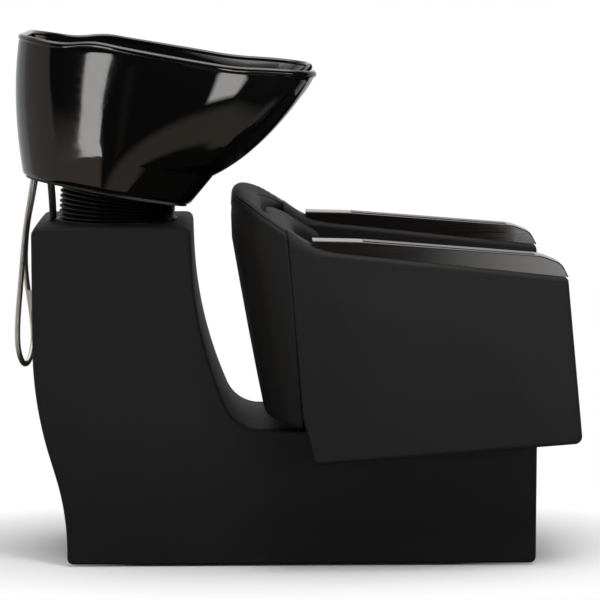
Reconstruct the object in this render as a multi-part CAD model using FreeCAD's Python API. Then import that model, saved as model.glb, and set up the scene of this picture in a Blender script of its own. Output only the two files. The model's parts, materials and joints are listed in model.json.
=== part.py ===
import FreeCAD, Part
import math
import os

# Salon backwash unit: upholstered base with a rear column, tub chair on its platform, and a
# ceramic basin that tilts on a pivot inside a rubber bellows on top of the column.
# Millimetres. X runs forward to the feet, Y to the sitter's left, Z up from the floor.
# The basin group is drawn level and then turned about its pivot to its resting tilt.

Vec = FreeCAD.Vector

# Shared allowances
cut_over = 5.0
seat_gap = 0.3
hole_gap = 0.1
running_gap = 0.05
shortest_edge = 0.01
hose_bend_share = 0.45

# Base carcass, side profile
base_front_x = 440.0
base_length = 855.5
base_width = 325.0
column_height = 621.0
column_depth = 285.0
column_overhang = 59.0
sway_low_height = 100.0
sway_high_height = 300.0
sway_low_radius = 480.0
sway_high_radius = 700.0
knee_forward_share = 0.01897
knee_height_share = 0.4688
knee_radius_share = 2.019
toe_forward_share = 0.22087
toe_radius_share = 0.18157
platform_height = 252.0
top_corner_radius = 12.0
foot_corner_radius = 9.0
cover_ground_gap = 4.0

# Base covers and boards
side_cover_thickness = 8.0
side_cover_edge_radius = 5.0
strip_cover_thickness = 6.0
side_board_thickness = 15.0
rear_board_thickness = 12.0
deck_thickness = 18.0
bent_panel_thickness = 8.0
front_board_thickness = 12.0
strip_seam_drop = 16.0
toe_panel_share = 0.69
plumbing_slot_length = 190.0
plumbing_slot_width = 180.0
plumbing_slot_inset = 45.0

# Feet and floor fixing
glide_radius = 15.0
glide_inset_x = 60.0
glide_inset_y = 40.0
fixing_hole_radius = 5.5
fixing_spacing_x = 480.0
fixing_spacing_y = 200.0
fixing_centre_x = 170.0

# Service panel in the rear cover
service_bottom = 50.0
service_top = 350.0
service_half_width = 110.0
service_ledge = 15.0
service_gap = 1.5
service_panel_inset = 1.0
service_screw_inset = 8.0
service_head_radius = 4.5
service_head_height = 2.2
service_shank_radius = 2.0

# Pivot of the basin and its resting tilt
pivot_x = -327.5
pivot_above_column = 35.0
basin_rest_tilt = 9.7

# Pivot bracket on the column deck
bracket_plate_radius = 92.0
bracket_plate_thickness = 4.0
bracket_ear_thickness = 6.0
bracket_ear_inner_y = 62.0
bracket_ear_foot_width = 84.0
bracket_ear_tip_radius = 15.0
ear_tip_round_share = 0.99
drain_passage_radius = 40.0
bracket_bolt_circle_radius = 74.0
bracket_bolt_radius = 4.0
bracket_bolt_head_radius = 7.0
bracket_bolt_head_height = 5.0
pivot_bolt_radius = 6.0
pivot_head_radius = 11.0
pivot_head_height = 7.5
pivot_nut_height = 7.0
pivot_bolt_tail = 2.0
pivot_washer_radius = 14.0
pivot_washer_thickness = 1.5
pivot_face_gap = 0.1

# Cradle plate under the basin
cradle_plate_thickness = 5.0
cradle_inset = 6.0
cradle_ear_thickness = 6.0
cradle_ear_width = 56.0
cradle_ear_tip_radius = 13.0
supply_slot_front_gap = 9.0
supply_slot_length = 26.0
supply_slot_half_width = 54.0

# Bellows and its rings
bellows_crest_radius = 107.5
bellows_root_radius = 97.5
bellows_wall = 2.2
bellows_ribs = 6
bellows_rib_flat_share = 0.24
lower_ring_radius = 112.0
upper_ring_radius = 106.0
ring_bore_radius = 93.0
lower_ring_height = 4.0
upper_ring_height = 4.0
cover_opening_radius = 98.0
ring_screw_circle_radius = 109.9
ring_screw_head_radius = 2.0
ring_screw_head_height = 1.6
ring_screw_angle = 27.0

# Ceramic basin, level, measured from its lower edge and its rear face
basin_above_column = 61.0
basin_height = 268.0
basin_length = 537.0
basin_width = 546.0
basin_front_reach = 319.5
basin_wall = 9.0
basin_floor_thickness = 14.0
# height, rear inset, front inset, half width of the side corner, half width of the rear corner
basin_slice_shares = [
    (0.000, 0.077, 0.343, 0.300, 0.200),
    (0.220, 0.045, 0.283, 0.362, 0.235),
    (0.384, 0.028, 0.192, 0.425, 0.262),
    (0.571, 0.014, 0.119, 0.468, 0.285),
    (0.757, 0.002, 0.063, 0.502, 0.303),
    (1.060, 0.000, 0.000, 0.532, 0.322),
]
foot_slice_count = 2
basin_side_corner_share = 0.585
basin_rear_radius = 110.0
basin_rear_round_share = 0.9
basin_side_radius = 330.0
basin_front_radius = 70.0
foot_side_radius = 150.0
foot_front_radius = 46.0
front_width_share = 0.79
# rim line: share of the length from the rear face, height above the nominal rim
rim_line_shares = [(-0.05, -0.052), (0.165, -0.056), (0.250, 0.000), (0.330, -0.008),
                   (0.720, -0.010), (0.880, 0.026), (1.050, 0.046)]
rim_bend_radius = 60.0

# Bowl cavity, rear ledge and neck notch
bowl_wall = 13.0
ledge_height = 168.0
ledge_length = 92.0
bowl_floor_height = 88.0
bowl_floor_rear_gap = 34.0
bowl_floor_front_inset = 205.0
bowl_floor_half_width = 108.0
bowl_floor_radius = 60.0
bowl_floor_side_radius = 300.0
ledge_half_width = 150.0
ledge_flare = 0.8
ledge_corner_radius = 90.0
notch_half_width = 112.0
notch_depth = 52.0
notch_reach = 120.0
under_ledge_half_width = 120.0

# Drain
drain_flange_radius = 36.0
drain_flange_thickness = 2.5
tailpiece_radius = 19.0
tailpiece_wall = 2.0
tailpiece_length = 55.0
strainer_radius = 15.5
strainer_lip_radius = 22.0
strainer_lip_thickness = 2.0
strainer_depth = 12.0
strainer_wall = 1.5
strainer_hole_radius = 2.0
strainer_hole_count = 8
strainer_hole_circle_radius = 9.5
drain_hose_radius = 20.0
drain_hose_wall = 2.5
drain_hose_below_column = 65.0
waste_pipe_radius = 21.0
waste_spigot_radius = 20.0
waste_spigot_length = 60.0
waste_pipe_wall = 3.0
waste_pipe_bottom = 70.0
pipe_rail_height = 300.0
pipe_rail_thickness = 20.0
pipe_rail_width = 64.0

# Taps on the ledge
tap_line_behind_pivot = 156.0
tap_half_spacing = 34.0
mixer_flange_radius = 25.0
mixer_flange_thickness = 3.0
mixer_body_radius = 20.0
mixer_body_height = 34.0
mixer_cap_radius = 21.0
mixer_cap_height = 17.0
mixer_shank_radius = 16.0
mixer_shank_length = 26.0
mixer_nut_radius = 23.0
mixer_nut_height = 6.0
lever_length = 62.0
lever_width = 12.0
lever_thickness = 5.0
lever_hub_radius = 5.0
lever_pin_radius = 2.0
lever_slot_width = 13.0
lever_slot_depth = 11.0
lever_tip_round_share = 0.8
inlet_nut_radius = 7.0
inlet_nut_height = 16.0
inlet_forward = 18.0
inlet_half_spacing = 11.0
holder_flange_radius = 23.0
holder_sleeve_radius = 16.0
holder_wall = 2.0
holder_height = 8.0
holder_nut_height = 6.0
holder_nut_radius = 21.0
handle_radius = 12.0
handle_low_height = 112.0
handle_neck_height = 196.0
shower_head_radius = 21.0
shower_head_length = 30.0
shower_head_tilt = 55.0
shower_face_radius = 18.0
shower_face_thickness = 2.0
shower_lift_range = 120.0

# Steel shower hose
steel_hose_radius = 5.3
grommet_radius = 9.0
grommet_gap = 1.9
grommet_height = 6.0
hose_straight_length = 40.0
# free loop behind the base, from the mixer's grommet to the shower's grommet; the heights of
# all three routes are measured from the column's top
hose_route = [(-495.0, -43.0, -21.0), (-501.5, -53.0, -101.0), (-509.0, -60.0, -181.0),
              (-509.5, -60.0, -234.0), (-502.0, -24.8, -269.0), (-494.0, 24.8, -269.0),
              (-488.0, 60.0, -234.0), (-491.5, 60.0, -181.0), (-503.5, 53.0, -101.0),
              (-499.0, 43.0, -21.0)]
tag_width = 11.0
tag_height = 34.0
tag_thickness = 1.0
tag_place_share = 0.0875

# Black supply hoses
supply_hose_radius = 4.8
supply_hole_radius = 8.5
supply_hole_behind_pivot = 117.5
supply_half_spacing = 28.0
supply_below_column = 61.0
supply_inlet_straight = 40.0
supply_hole_straight = 80.0
supply_hot_route = [(-452.0, -41.0, 124.0), (-448.5, -34.0, 74.0)]
supply_cold_route = [(-451.5, -8.0, 124.0), (-448.5, 13.0, 77.0)]
tail_straight = 40.0
tail_half_spacing = 55.0
tail_x = -345.0
# tail inside the column: X, Y and share of the height between its straight ends
tail_route_shares = [(-432.0, 31.0, 0.79), (-415.0, 36.0, 0.55), (-398.0, 44.0, 0.33),
                     (-370.0, 53.0, 0.12)]
tail_end_height = 150.0
tail_nut_radius = 12.5
tail_nut_bore_radius = 9.5
tail_nut_height = 18.0
tail_nut_bore_depth = 13.0

# Chair shell
chair_half_width = 308.0
chair_bottom = 277.0
back_rear_x = -116.0
back_low_rear_x = -55.0
back_knee_above_shoulder = 13.0
back_top_above_shoulder = 96.0
back_top_radius = 22.0
back_knee_radius = 130.0
back_low_radius = 45.0
shoulder_x = 30.0
shoulder_below_column = 21.0
seam_top_x = -14.0
seam_low_x = 11.0
seam_low_height = 297.0
tub_rear_corner_share = 0.5357
tub_rear_radius_share = 1.2013
tub_side_corner_share = 0.1818
tub_side_radius_share = 0.2532
tub_headroom = 25.0
shell_thickness = 20.0
back_frame_thickness = 15.0
lining_thickness = 20.0
top_roll_depth = 28.0
back_cushion_thickness = 58.0
back_cushion_drop = 13.0
back_cushion_front_gap = 3.0
back_cushion_end_radius = 26.0

# Seat
rail_height = 20.0
rail_width = 45.0
rail_length = 330.0
rail_rear_x = 40.0
rail_half_spacing = 95.0
seat_deck_thickness = 18.0
seat_rear_x = 22.0
seat_front_x = 452.0
seat_cushion_thickness = 140.0
seat_cushion_crown = 16.0
seat_cushion_rear_x = 66.0
seat_cushion_front_x = 470.0
seat_cushion_corner_radius = 26.0
# seat cushion: height share and draw-in as a share of the corner radius
seat_side_shares = [(0.0, 0.5), (0.12, 0.125), (0.5, 0.0), (0.84, 0.0), (0.95, 0.35), (1.0, 1.0)]
seat_draw_share = 0.4
# crown: height share and draw-in as a share of the corner radius
seat_crown_shares = [(0.0, 0.0), (0.55, 1.0), (0.88, 2.4), (1.0, 4.4)]
seat_crown_radius_share = 0.3
seat_side_gap = 0.5
arm_bracket_size = 36.0
arm_bracket_width = 30.0
arm_bracket_thickness = 4.0
arm_bracket_rear_x = 90.0
arm_bracket_front_x = 380.0

# Arms
arm_thickness = 76.0
arm_front_x = 506.7
arm_front_bottom = 250.5
arm_front_top_x = 477.0
arm_front_below_shoulder = 53.0
arm_rear_below_shoulder = 6.0
arm_rear_top_x = 35.0
arm_flap_x = 33.0
arm_flap_bottom = 214.0
arm_shoulder_radius = 160.0
arm_corner_radius = 10.0
arm_front_bottom_radius = 14.0
arm_edge_radius = 11.0
arm_frame_thickness = 30.0
arm_frame_inset = 14.0

# Arm caps and inlaid plates
cap_rear_x = 28.0
cap_width = 54.0
cap_rear_above_shoulder = 12.0
cap_mid_x = 112.0
cap_mid_above_shoulder = 10.0
cap_brow_x = 431.0
cap_brow_below_shoulder = 15.0
cap_nose_x = 466.0
cap_nose_below_shoulder = 29.0
cap_nose_tip_x = 478.5
cap_mid_radius = 500.0
cap_brow_radius = 70.0
cap_nose_radius = 26.0
cap_edge_radius = 2.5
insert_rear_x = 117.0
insert_front_x = 428.0
insert_width = 34.0
insert_thickness = 3.0
insert_proud = 1.0
insert_clear_share = 0.12

# Derived places
base_rear_x = base_front_x - base_length
column_rear_x = base_rear_x - column_overhang
column_front_x = column_rear_x + column_depth
cover_half_width = base_width / 2
strip_half_width = cover_half_width - side_cover_thickness
board_half_width = strip_half_width - side_board_thickness
carcass_floor = cover_ground_gap + strip_cover_thickness
bottom_deck_top = carcass_floor + deck_thickness
column_deck_top = column_height - strip_cover_thickness
column_deck_bottom = column_deck_top - deck_thickness
platform_deck_top = platform_height - strip_cover_thickness
platform_deck_bottom = platform_deck_top - deck_thickness
column_rise = column_height - platform_height
knee_x = column_front_x + knee_forward_share * column_rise
knee_height = platform_height + knee_height_share * column_rise
knee_radius = knee_radius_share * column_rise
toe_x = column_front_x + toe_forward_share * column_rise
toe_radius = toe_radius_share * column_rise
toe_end_x = toe_x + toe_panel_share * toe_radius
pivot_height = column_height + pivot_above_column
basin_bottom = column_height + basin_above_column
drain_hose_low_height = column_height - drain_hose_below_column
supply_low_height = column_height - supply_below_column
shoulder_height = column_height - shoulder_below_column
back_knee_height = shoulder_height + back_knee_above_shoulder
back_top_corner_height = shoulder_height + back_top_above_shoulder
tub_ceiling = back_top_corner_height + tub_headroom
tub_rear_corner_y = tub_rear_corner_share * chair_half_width
tub_rear_radius = tub_rear_radius_share * chair_half_width
tub_side_corner = tub_side_corner_share * chair_half_width
tub_side_radius = tub_side_radius_share * chair_half_width
arm_front_top = shoulder_height - arm_front_below_shoulder
arm_rear_top = shoulder_height - arm_rear_below_shoulder
cap_rear_height = shoulder_height + cap_rear_above_shoulder
cap_mid_height = shoulder_height + cap_mid_above_shoulder
cap_brow_height = shoulder_height - cap_brow_below_shoulder
cap_nose_height = shoulder_height - cap_nose_below_shoulder
bracket_top = column_deck_top + bracket_plate_thickness
cradle_bottom = basin_bottom - cradle_plate_thickness
basin_rear_x = pivot_x + basin_front_reach - basin_length
basin_front_x = pivot_x + basin_front_reach
rim_height = basin_bottom + basin_height
ledge_top = basin_bottom + ledge_height
bowl_floor = basin_bottom + bowl_floor_height
bowl_rear_x = basin_rear_x + basin_wall + ledge_length
tap_x = pivot_x - tap_line_behind_pivot
seat_deck_bottom = platform_height + rail_height
seat_deck_top = seat_deck_bottom + seat_deck_thickness
arm_inner_y = chair_half_width - arm_thickness
arm_mid_y = chair_half_width - arm_thickness / 2
bellows_top = cradle_bottom - upper_ring_height
bellows_bottom = column_height + lower_ring_height


# Outline and solid helpers
def side_plane(y):
    """Maps outline values to a plane of constant Y."""
    return lambda u, v: Vec(u, y, v)


def level_plane(z):
    """Maps outline values to a plane of constant Z."""
    return lambda u, v: Vec(u, v, z)


def inset_corners(corners, depth):
    """Moves every side of an anticlockwise outline inwards and keeps its arcs concentric."""
    moved = []
    for index, (u, v, radius) in enumerate(corners):
        before = corners[index - 1]
        after = corners[(index + 1) % len(corners)]
        run_in = Vec(u - before[0], v - before[1], 0).normalize()
        run_out = Vec(after[0] - u, after[1] - v, 0).normalize()
        normal_in = Vec(-run_in.y, run_in.x, 0)
        normal_out = Vec(-run_out.y, run_out.x, 0)
        step = (normal_in + normal_out) * (depth / (1 + normal_in.dot(normal_out)))
        outward_turn = run_in.x * run_out.y - run_in.y * run_out.x > 0
        new_radius = max(radius - depth, 0) if outward_turn else radius + depth
        moved.append((u + step.x, v + step.y, new_radius))
    return moved


def rounded_wire(corners, plane):
    """Closed wire of straight runs and tangent arcs through (u, v, radius) corners."""
    tangent_points = []
    for index, (u, v, radius) in enumerate(corners):
        here = Vec(u, v, 0)
        back = Vec(*corners[index - 1][:2], 0) - here
        ahead = Vec(*corners[(index + 1) % len(corners)][:2], 0) - here
        half_angle = back.getAngle(ahead) / 2
        back.normalize()
        ahead.normalize()
        if radius <= 0:
            tangent_points.append((here, None, here))
            continue
        reach = radius / math.tan(half_angle)
        middle_reach = radius / math.sin(half_angle) - radius
        bisector = (back + ahead).normalize()
        tangent_points.append((here + back * reach, here + bisector * middle_reach,
                               here + ahead * reach))
    edges = []
    for index, (start, middle, end) in enumerate(tangent_points):
        if middle is not None:
            places = [plane(point.x, point.y) for point in (start, middle, end)]
            edges.append(Part.Arc(*places).toShape())
        following = tangent_points[(index + 1) % len(tangent_points)][0]
        here = corners[index]
        ahead = corners[(index + 1) % len(corners)]
        if (following - end).dot(Vec(ahead[0] - here[0], ahead[1] - here[1], 0)) < 0:
            print("PROBLEM arcs overlap after corner", index, corners)
        if (following - end).Length > shortest_edge:
            edges.append(Part.makeLine(plane(end.x, end.y), plane(following.x, following.y)))
    return Part.Wire(edges)


def prism(corners, plane, sweep):
    """Solid swept from a closed corner outline."""
    return Part.Face(rounded_wire(corners, plane)).extrude(sweep)


def side_prism(corners, low_y, high_y):
    """Solid between two Y planes with the side outline of the corners."""
    return prism(corners, side_plane(low_y), Vec(0, high_y - low_y, 0))


def level_prism(corners, low_z, high_z):
    """Solid between two heights with the plan outline of the corners."""
    return prism(corners, level_plane(low_z), Vec(0, 0, high_z - low_z))


def block(low, high):
    """Box between two opposite corners."""
    return Part.makeBox(high[0] - low[0], high[1] - low[1], high[2] - low[2], Vec(*low))


def rod(start, direction, radius, length):
    """Cylinder from a start point along a direction."""
    return Part.makeCylinder(radius, length, Vec(*start), direction)


def upright(x, y, low_z, high_z, radius):
    """Vertical cylinder between two heights."""
    return Part.makeCylinder(radius, high_z - low_z, Vec(x, y, low_z))


def mirror_y(shape):
    """The same piece on the other side of the unit."""
    return shape.mirror(Vec(0, 0, 0), Vec(0, 1, 0))


def both_sides(shape):
    """A piece and its mirror image as one group of separate solids."""
    return Part.makeCompound([shape, mirror_y(shape)])


def tilted(shape):
    """A level basin piece turned about the pivot to its resting tilt."""
    turned = shape.copy()
    turned.rotate(Vec(pivot_x, 0, pivot_height), Vec(0, 1, 0), basin_rest_tilt)
    return turned


def tilted_point(x, y, z):
    """A level basin point at the resting tilt."""
    angle = math.radians(basin_rest_tilt)
    run = x - pivot_x
    rise = z - pivot_height
    return Vec(pivot_x + run * math.cos(angle) + rise * math.sin(angle), y,
               pivot_height - run * math.sin(angle) + rise * math.cos(angle))


def tube_along(points, radius, name):
    """Round tube on straight runs joined by arcs as large as the runs allow."""
    places = [Vec(*point) for point in points]
    edges = []
    radii = []
    last = places[0]
    for before, corner, after in zip(places, places[1:], places[2:]):
        back = before - corner
        ahead = after - corner
        shorter = min(back.Length, ahead.Length)
        turn = math.pi - back.getAngle(ahead)
        bend_radius = hose_bend_share * shorter / math.tan(turn / 2)
        back.normalize()
        ahead.normalize()
        start = corner + back * (hose_bend_share * shorter)
        end = corner + ahead * (hose_bend_share * shorter)
        half_angle = (math.pi - turn) / 2
        bisector = (back + ahead).normalize()
        middle = corner + bisector * (bend_radius / math.sin(half_angle) - bend_radius)
        edges.append(Part.LineSegment(last, start).toShape())
        edges.append(Part.Arc(start, middle, end).toShape())
        radii.append(round(bend_radius, 1))
        last = end
    edges.append(Part.LineSegment(last, places[-1]).toShape())
    path = Part.Wire(edges)
    first_run = (places[1] - places[0]).normalize()
    section = Part.Wire([Part.makeCircle(radius, places[0], first_run)])
    tube = path.makePipeShell([section], True, False)
    expected = math.pi * radius ** 2 * path.Length
    print(name, "radii", radii, "length", round(path.Length, 1),
          "volume ratio", round(tube.Volume / expected, 4))
    return tube


def save(name, shape):
    """Checks a piece and writes it as one file."""
    for solid in shape.Solids:
        if not solid.isValid() or solid.Volume <= 0:
            print("PROBLEM", name, solid.isValid(), solid.Volume)
    if not shape.Solids:
        print("PROBLEM", name, "has no solid")
    cleaned = shape.Solids[0] if len(shape.Solids) == 1 else Part.makeCompound(shape.Solids)
    cleaned.exportStep(os.path.join("parts", name + ".step"))
    box = cleaned.BoundBox
    print(name, len(shape.Solids), "solids", [round(value, 1) for value in
          (box.XMin, box.XMax, box.YMin, box.YMax, box.ZMin, box.ZMax)])


# Base
def base_corners(inset):
    """Side outline of the padded base, anticlockwise from the front foot, moved in by inset."""
    outline = [
        (base_rear_x, cover_ground_gap, foot_corner_radius),
        (base_front_x, cover_ground_gap, foot_corner_radius),
        (base_front_x, platform_height, top_corner_radius),
        (toe_x, platform_height, toe_radius),
        (knee_x, knee_height, knee_radius),
        (column_front_x, column_height, top_corner_radius),
        (column_rear_x, column_height, top_corner_radius),
        (column_rear_x, sway_high_height, sway_high_radius),
        (base_rear_x, sway_low_height, sway_low_radius),
    ]
    return inset_corners(outline, inset)


def base_ring(outer_inset, inner_inset, half_width):
    """Band that follows the base's outline between two insets."""
    outer = side_prism(base_corners(outer_inset), -half_width, half_width)
    inner = side_prism(base_corners(inner_inset), -half_width - cut_over, half_width + cut_over)
    return outer.cut(inner)


def rear_zone(low_z, high_z, half_width):
    """Box round the rear face between two heights."""
    return block((column_rear_x - cut_over, -half_width, low_z),
                 (base_rear_x + rear_board_thickness + strip_cover_thickness, half_width, high_z))


def front_zone(low_z, high_z):
    """Box round the front face between two heights."""
    return block((base_front_x - front_board_thickness - strip_cover_thickness, -base_width, low_z),
                 (base_front_x + cut_over, base_width, high_z))


def base_side_cover():
    """Padded leather side of the base, right-hand side, with a rounded outer edge."""
    cover = side_prism(base_corners(0), strip_half_width, cover_half_width)
    rim = [edge for edge in cover.Edges if edge.BoundBox.YMin > cover_half_width - hole_gap]
    return cover.makeFillet(side_cover_edge_radius, rim)


def base_side_board():
    """Plywood side board behind the padded side."""
    return side_prism(base_corners(strip_cover_thickness), board_half_width, strip_half_width)


def service_zone(margin, depth_low, depth_high):
    """Band piece of the rear face at the service opening, grown by a margin."""
    half = service_half_width + margin
    return base_ring(depth_low, depth_high, half).common(
        rear_zone(service_bottom - margin, service_top + margin, half))


def service_screws(radius, length, start_gap):
    """Four round pieces square to the panel at its corners."""
    pieces = []
    for height in (service_bottom + service_screw_inset, service_top - service_screw_inset):
        face = rear_face_x(height)
        for side in (-1, 1):
            y = side * (service_half_width - service_screw_inset)
            pieces.append(rod((face + start_gap, y, height), Vec(1, 0, 0), radius, length))
    return Part.makeCompound(pieces)


def rear_face_x(height):
    """Rear face of the base at a height, measured on its outline."""
    outline = rounded_wire(base_corners(0), side_plane(0))
    line = Part.makeLine(Vec(column_rear_x - cut_over, 0, height), Vec(pivot_x, 0, height))
    return line.distToShape(outline)[1][0][0].x


def base_strips():
    """Rear, top and front cover strips between the padded sides."""
    ring = base_ring(0, strip_cover_thickness, strip_half_width)
    under = block((base_rear_x + strip_cover_thickness, -base_width, 0),
                  (base_front_x - strip_cover_thickness, base_width, carcass_floor))
    ring = ring.cut(under)
    rear_box = rear_zone(0, column_height - strip_seam_drop, base_width)
    front_box = front_zone(0, platform_height - strip_seam_drop)
    opening = service_zone(0, -cut_over, strip_cover_thickness + cut_over)
    rear = ring.common(rear_box).cut(opening)
    front = ring.common(front_box)
    top = ring.cut(rear_box).cut(front_box)
    low = column_height - strip_cover_thickness - cut_over
    top = top.cut(upright(pivot_x, 0, low, column_height + cut_over, cover_opening_radius))
    return rear, top.cut(supply_holes(low, column_height + cut_over)), front


def supply_holes(low_z, high_z):
    """Two vertical holes that pass the supply hoses through the column's top."""
    x = pivot_x - supply_hole_behind_pivot
    return both_sides(upright(x, supply_half_spacing, low_z, high_z, supply_hole_radius))


def bracket_bolt_places():
    """Places of the four bolts that hold the pivot bracket."""
    reach = bracket_bolt_circle_radius * math.sqrt(0.5)
    return [(pivot_x + reach * a, reach * b) for a in (-1, 1) for b in (-1, 1)]


def column_deck():
    """Board under the column's top cover, with the drain passage and bolt holes."""
    slab = side_prism(base_corners(strip_cover_thickness), -board_half_width, board_half_width)
    slab = slab.common(block((column_rear_x, -base_width, column_deck_bottom),
                             (toe_x, base_width, column_deck_top + cut_over)))
    low = column_deck_bottom - cut_over
    high = column_deck_top + cut_over
    slab = slab.cut(upright(pivot_x, 0, low, high, drain_passage_radius))
    slab = slab.cut(supply_holes(low, high))
    for x, y in bracket_bolt_places():
        slab = slab.cut(upright(x, y, low, high, bracket_bolt_radius + hole_gap))
    return slab


def column_front_panel():
    """Bent plywood behind the column's front cover."""
    ring = base_ring(strip_cover_thickness, strip_cover_thickness + bent_panel_thickness,
                     board_half_width)
    zone = block((pivot_x + bracket_plate_radius, -base_width, platform_deck_bottom),
                 (toe_end_x, base_width, column_deck_bottom))
    return ring.common(zone)


def platform_deck():
    """Board under the platform's cover."""
    front = base_front_x - strip_cover_thickness
    return block((toe_end_x, -board_half_width, platform_deck_bottom),
                 (front - top_corner_radius, board_half_width, platform_deck_top))


def base_front_board():
    """Upright board behind the front cover."""
    front = base_front_x - strip_cover_thickness
    return block((front - front_board_thickness, -board_half_width, bottom_deck_top),
                 (front, board_half_width, platform_deck_bottom))


def base_rear_board():
    """Bent rear board with the service opening."""
    inner = strip_cover_thickness + rear_board_thickness
    board = base_ring(strip_cover_thickness, inner, board_half_width)
    board = board.common(rear_zone(bottom_deck_top, column_deck_bottom, base_width))
    board = board.cut(service_zone(-service_ledge, -cut_over, inner + cut_over))
    return board.cut(service_screws(service_shank_radius + hole_gap, base_width / 4, -cut_over))


def service_panel():
    """Removable panel over the water connections."""
    panel = service_zone(-service_gap, service_panel_inset, strip_cover_thickness)
    return panel.cut(service_screws(service_shank_radius + hole_gap, base_width / 4, -cut_over))


def service_panel_screws():
    """Pan-head screws of the service panel."""
    shank_length = strip_cover_thickness + rear_board_thickness
    heads = service_screws(service_head_radius, service_head_height, -service_head_height)
    heads = heads.cut(service_zone(-service_gap, service_panel_inset, strip_cover_thickness))
    shanks = service_screws(service_shank_radius, shank_length, -service_head_height / 2)
    return Part.makeCompound([head.fuse(shank).removeSplitter()
                              for head, shank in zip(heads.Solids, shanks.Solids)])


def bottom_board():
    """Floor board with the plumbing slot and four floor fixing holes."""
    rear = base_rear_x + strip_cover_thickness
    board = side_prism(base_corners(strip_cover_thickness), -board_half_width, board_half_width)
    board = board.common(block((rear, -base_width, carcass_floor),
                               (base_front_x, base_width, bottom_deck_top)))
    slot_rear = rear + plumbing_slot_inset
    half_slot = plumbing_slot_width / 2
    board = board.cut(block((slot_rear, -half_slot, 0),
                            (slot_rear + plumbing_slot_length, half_slot, bottom_deck_top + cut_over)))
    for side_x in (-1, 1):
        for side_y in (-1, 1):
            x = fixing_centre_x + side_x * fixing_spacing_x / 2
            y = side_y * fixing_spacing_y / 2
            board = board.cut(upright(x, y, 0, bottom_deck_top + cut_over, fixing_hole_radius))
    return board


def glides():
    """Six round glides that carry the base on the floor."""
    rear = base_rear_x + glide_inset_x
    front = base_front_x - glide_inset_x
    y = board_half_width - glide_inset_y / 2
    pieces = [upright(x, side * y, 0, carcass_floor, glide_radius)
              for x in (rear, (rear + front) / 2, front) for side in (-1, 1)]
    return Part.makeCompound(pieces)


def pipe_rail():
    """Cross batten that holds the waste pipe."""
    half = pipe_rail_width / 2
    rail = block((pivot_x - half, -board_half_width, pipe_rail_height),
                 (pivot_x + half, board_half_width, pipe_rail_height + pipe_rail_thickness))
    return rail.cut(upright(pivot_x, 0, pipe_rail_height - cut_over,
                            pipe_rail_height + pipe_rail_thickness + cut_over,
                            waste_pipe_radius + hole_gap))


def waste_pipe():
    """Rigid waste pipe down the column, open at its lower end."""
    step = waste_pipe_bottom + waste_spigot_length
    outer = upright(pivot_x, 0, waste_pipe_bottom, step, waste_spigot_radius)
    outer = outer.fuse(upright(pivot_x, 0, step, drain_hose_low_height, waste_pipe_radius))
    inner = upright(pivot_x, 0, waste_pipe_bottom - cut_over, drain_hose_low_height + cut_over,
                    waste_pipe_radius - waste_pipe_wall)
    return outer.cut(inner)


# Pivot
def ear_corners(foot_width, foot_z, tip_radius, tip_z):
    """Ear outline: a wide foot that narrows to a round tip about the pivot."""
    half = foot_width / 2
    return [(pivot_x - half, foot_z, 0), (pivot_x + half, foot_z, 0),
            (pivot_x + tip_radius, tip_z, tip_radius * ear_tip_round_share),
            (pivot_x - tip_radius, tip_z, tip_radius * ear_tip_round_share)]


def pivot_bracket():
    """Fixed bracket: round plate with two ears."""
    plate = upright(pivot_x, 0, column_deck_top, bracket_top, bracket_plate_radius)
    tip = pivot_height + bracket_ear_tip_radius
    corners = ear_corners(bracket_ear_foot_width, bracket_top - bracket_plate_thickness / 2,
                          bracket_ear_tip_radius, tip)
    ear = side_prism(corners, bracket_ear_inner_y, bracket_ear_inner_y + bracket_ear_thickness)
    bracket = plate.fuse(ear).fuse(mirror_y(ear)).removeSplitter()
    bracket = bracket.cut(upright(pivot_x, 0, column_deck_top - cut_over, bracket_top + cut_over,
                                  drain_passage_radius))
    for x, y in bracket_bolt_places():
        bracket = bracket.cut(upright(x, y, column_deck_top - cut_over, bracket_top + cut_over,
                                      bracket_bolt_radius + hole_gap))
    return bracket.cut(rod((pivot_x, -base_width, pivot_height), Vec(0, 1, 0),
                           pivot_bolt_radius + running_gap, 2 * base_width))


def bracket_bolts():
    """Four bolts through the bracket plate and the column deck."""
    pieces = []
    for x, y in bracket_bolt_places():
        shank = upright(x, y, column_deck_bottom, bracket_top, bracket_bolt_radius)
        head = upright(x, y, bracket_top, bracket_top + bracket_bolt_head_height,
                       bracket_bolt_head_radius)
        pieces.append(shank.fuse(head).removeSplitter())
    return Part.makeCompound(pieces)


def cradle_ear_outer_y():
    """Outer face of the cradle's ear."""
    return bracket_ear_inner_y - pivot_washer_thickness - pivot_face_gap


def pivot_nut_outer_y():
    """Outer face of the lock nut inside the cradle's ear."""
    return cradle_ear_outer_y() - cradle_ear_thickness - pivot_face_gap


def hexagon(radius, y_low, y_high):
    """Hexagonal bar about the pivot line."""
    points = [(pivot_x + radius * math.cos(math.radians(60 * k)),
               pivot_height + radius * math.sin(math.radians(60 * k)), 0) for k in range(6)]
    return side_prism(points, y_low, y_high)


def pivot_bolts():
    """Two pivot bolts with hexagonal heads outside the ears."""
    outer = bracket_ear_inner_y + bracket_ear_thickness
    inner = pivot_nut_outer_y() - pivot_nut_height - pivot_bolt_tail
    shank = rod((pivot_x, inner, pivot_height), Vec(0, 1, 0), pivot_bolt_radius, outer - inner)
    head = hexagon(pivot_head_radius, outer, outer + pivot_head_height)
    return both_sides(shank.fuse(head).removeSplitter())


def pivot_nuts():
    """Two lock nuts inside the cradle's ears."""
    outer = pivot_nut_outer_y()
    nut = hexagon(pivot_head_radius, outer - pivot_nut_height, outer)
    bore = rod((pivot_x, 0, pivot_height), Vec(0, 1, 0), pivot_bolt_radius, base_width)
    return both_sides(nut.cut(bore))


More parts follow.
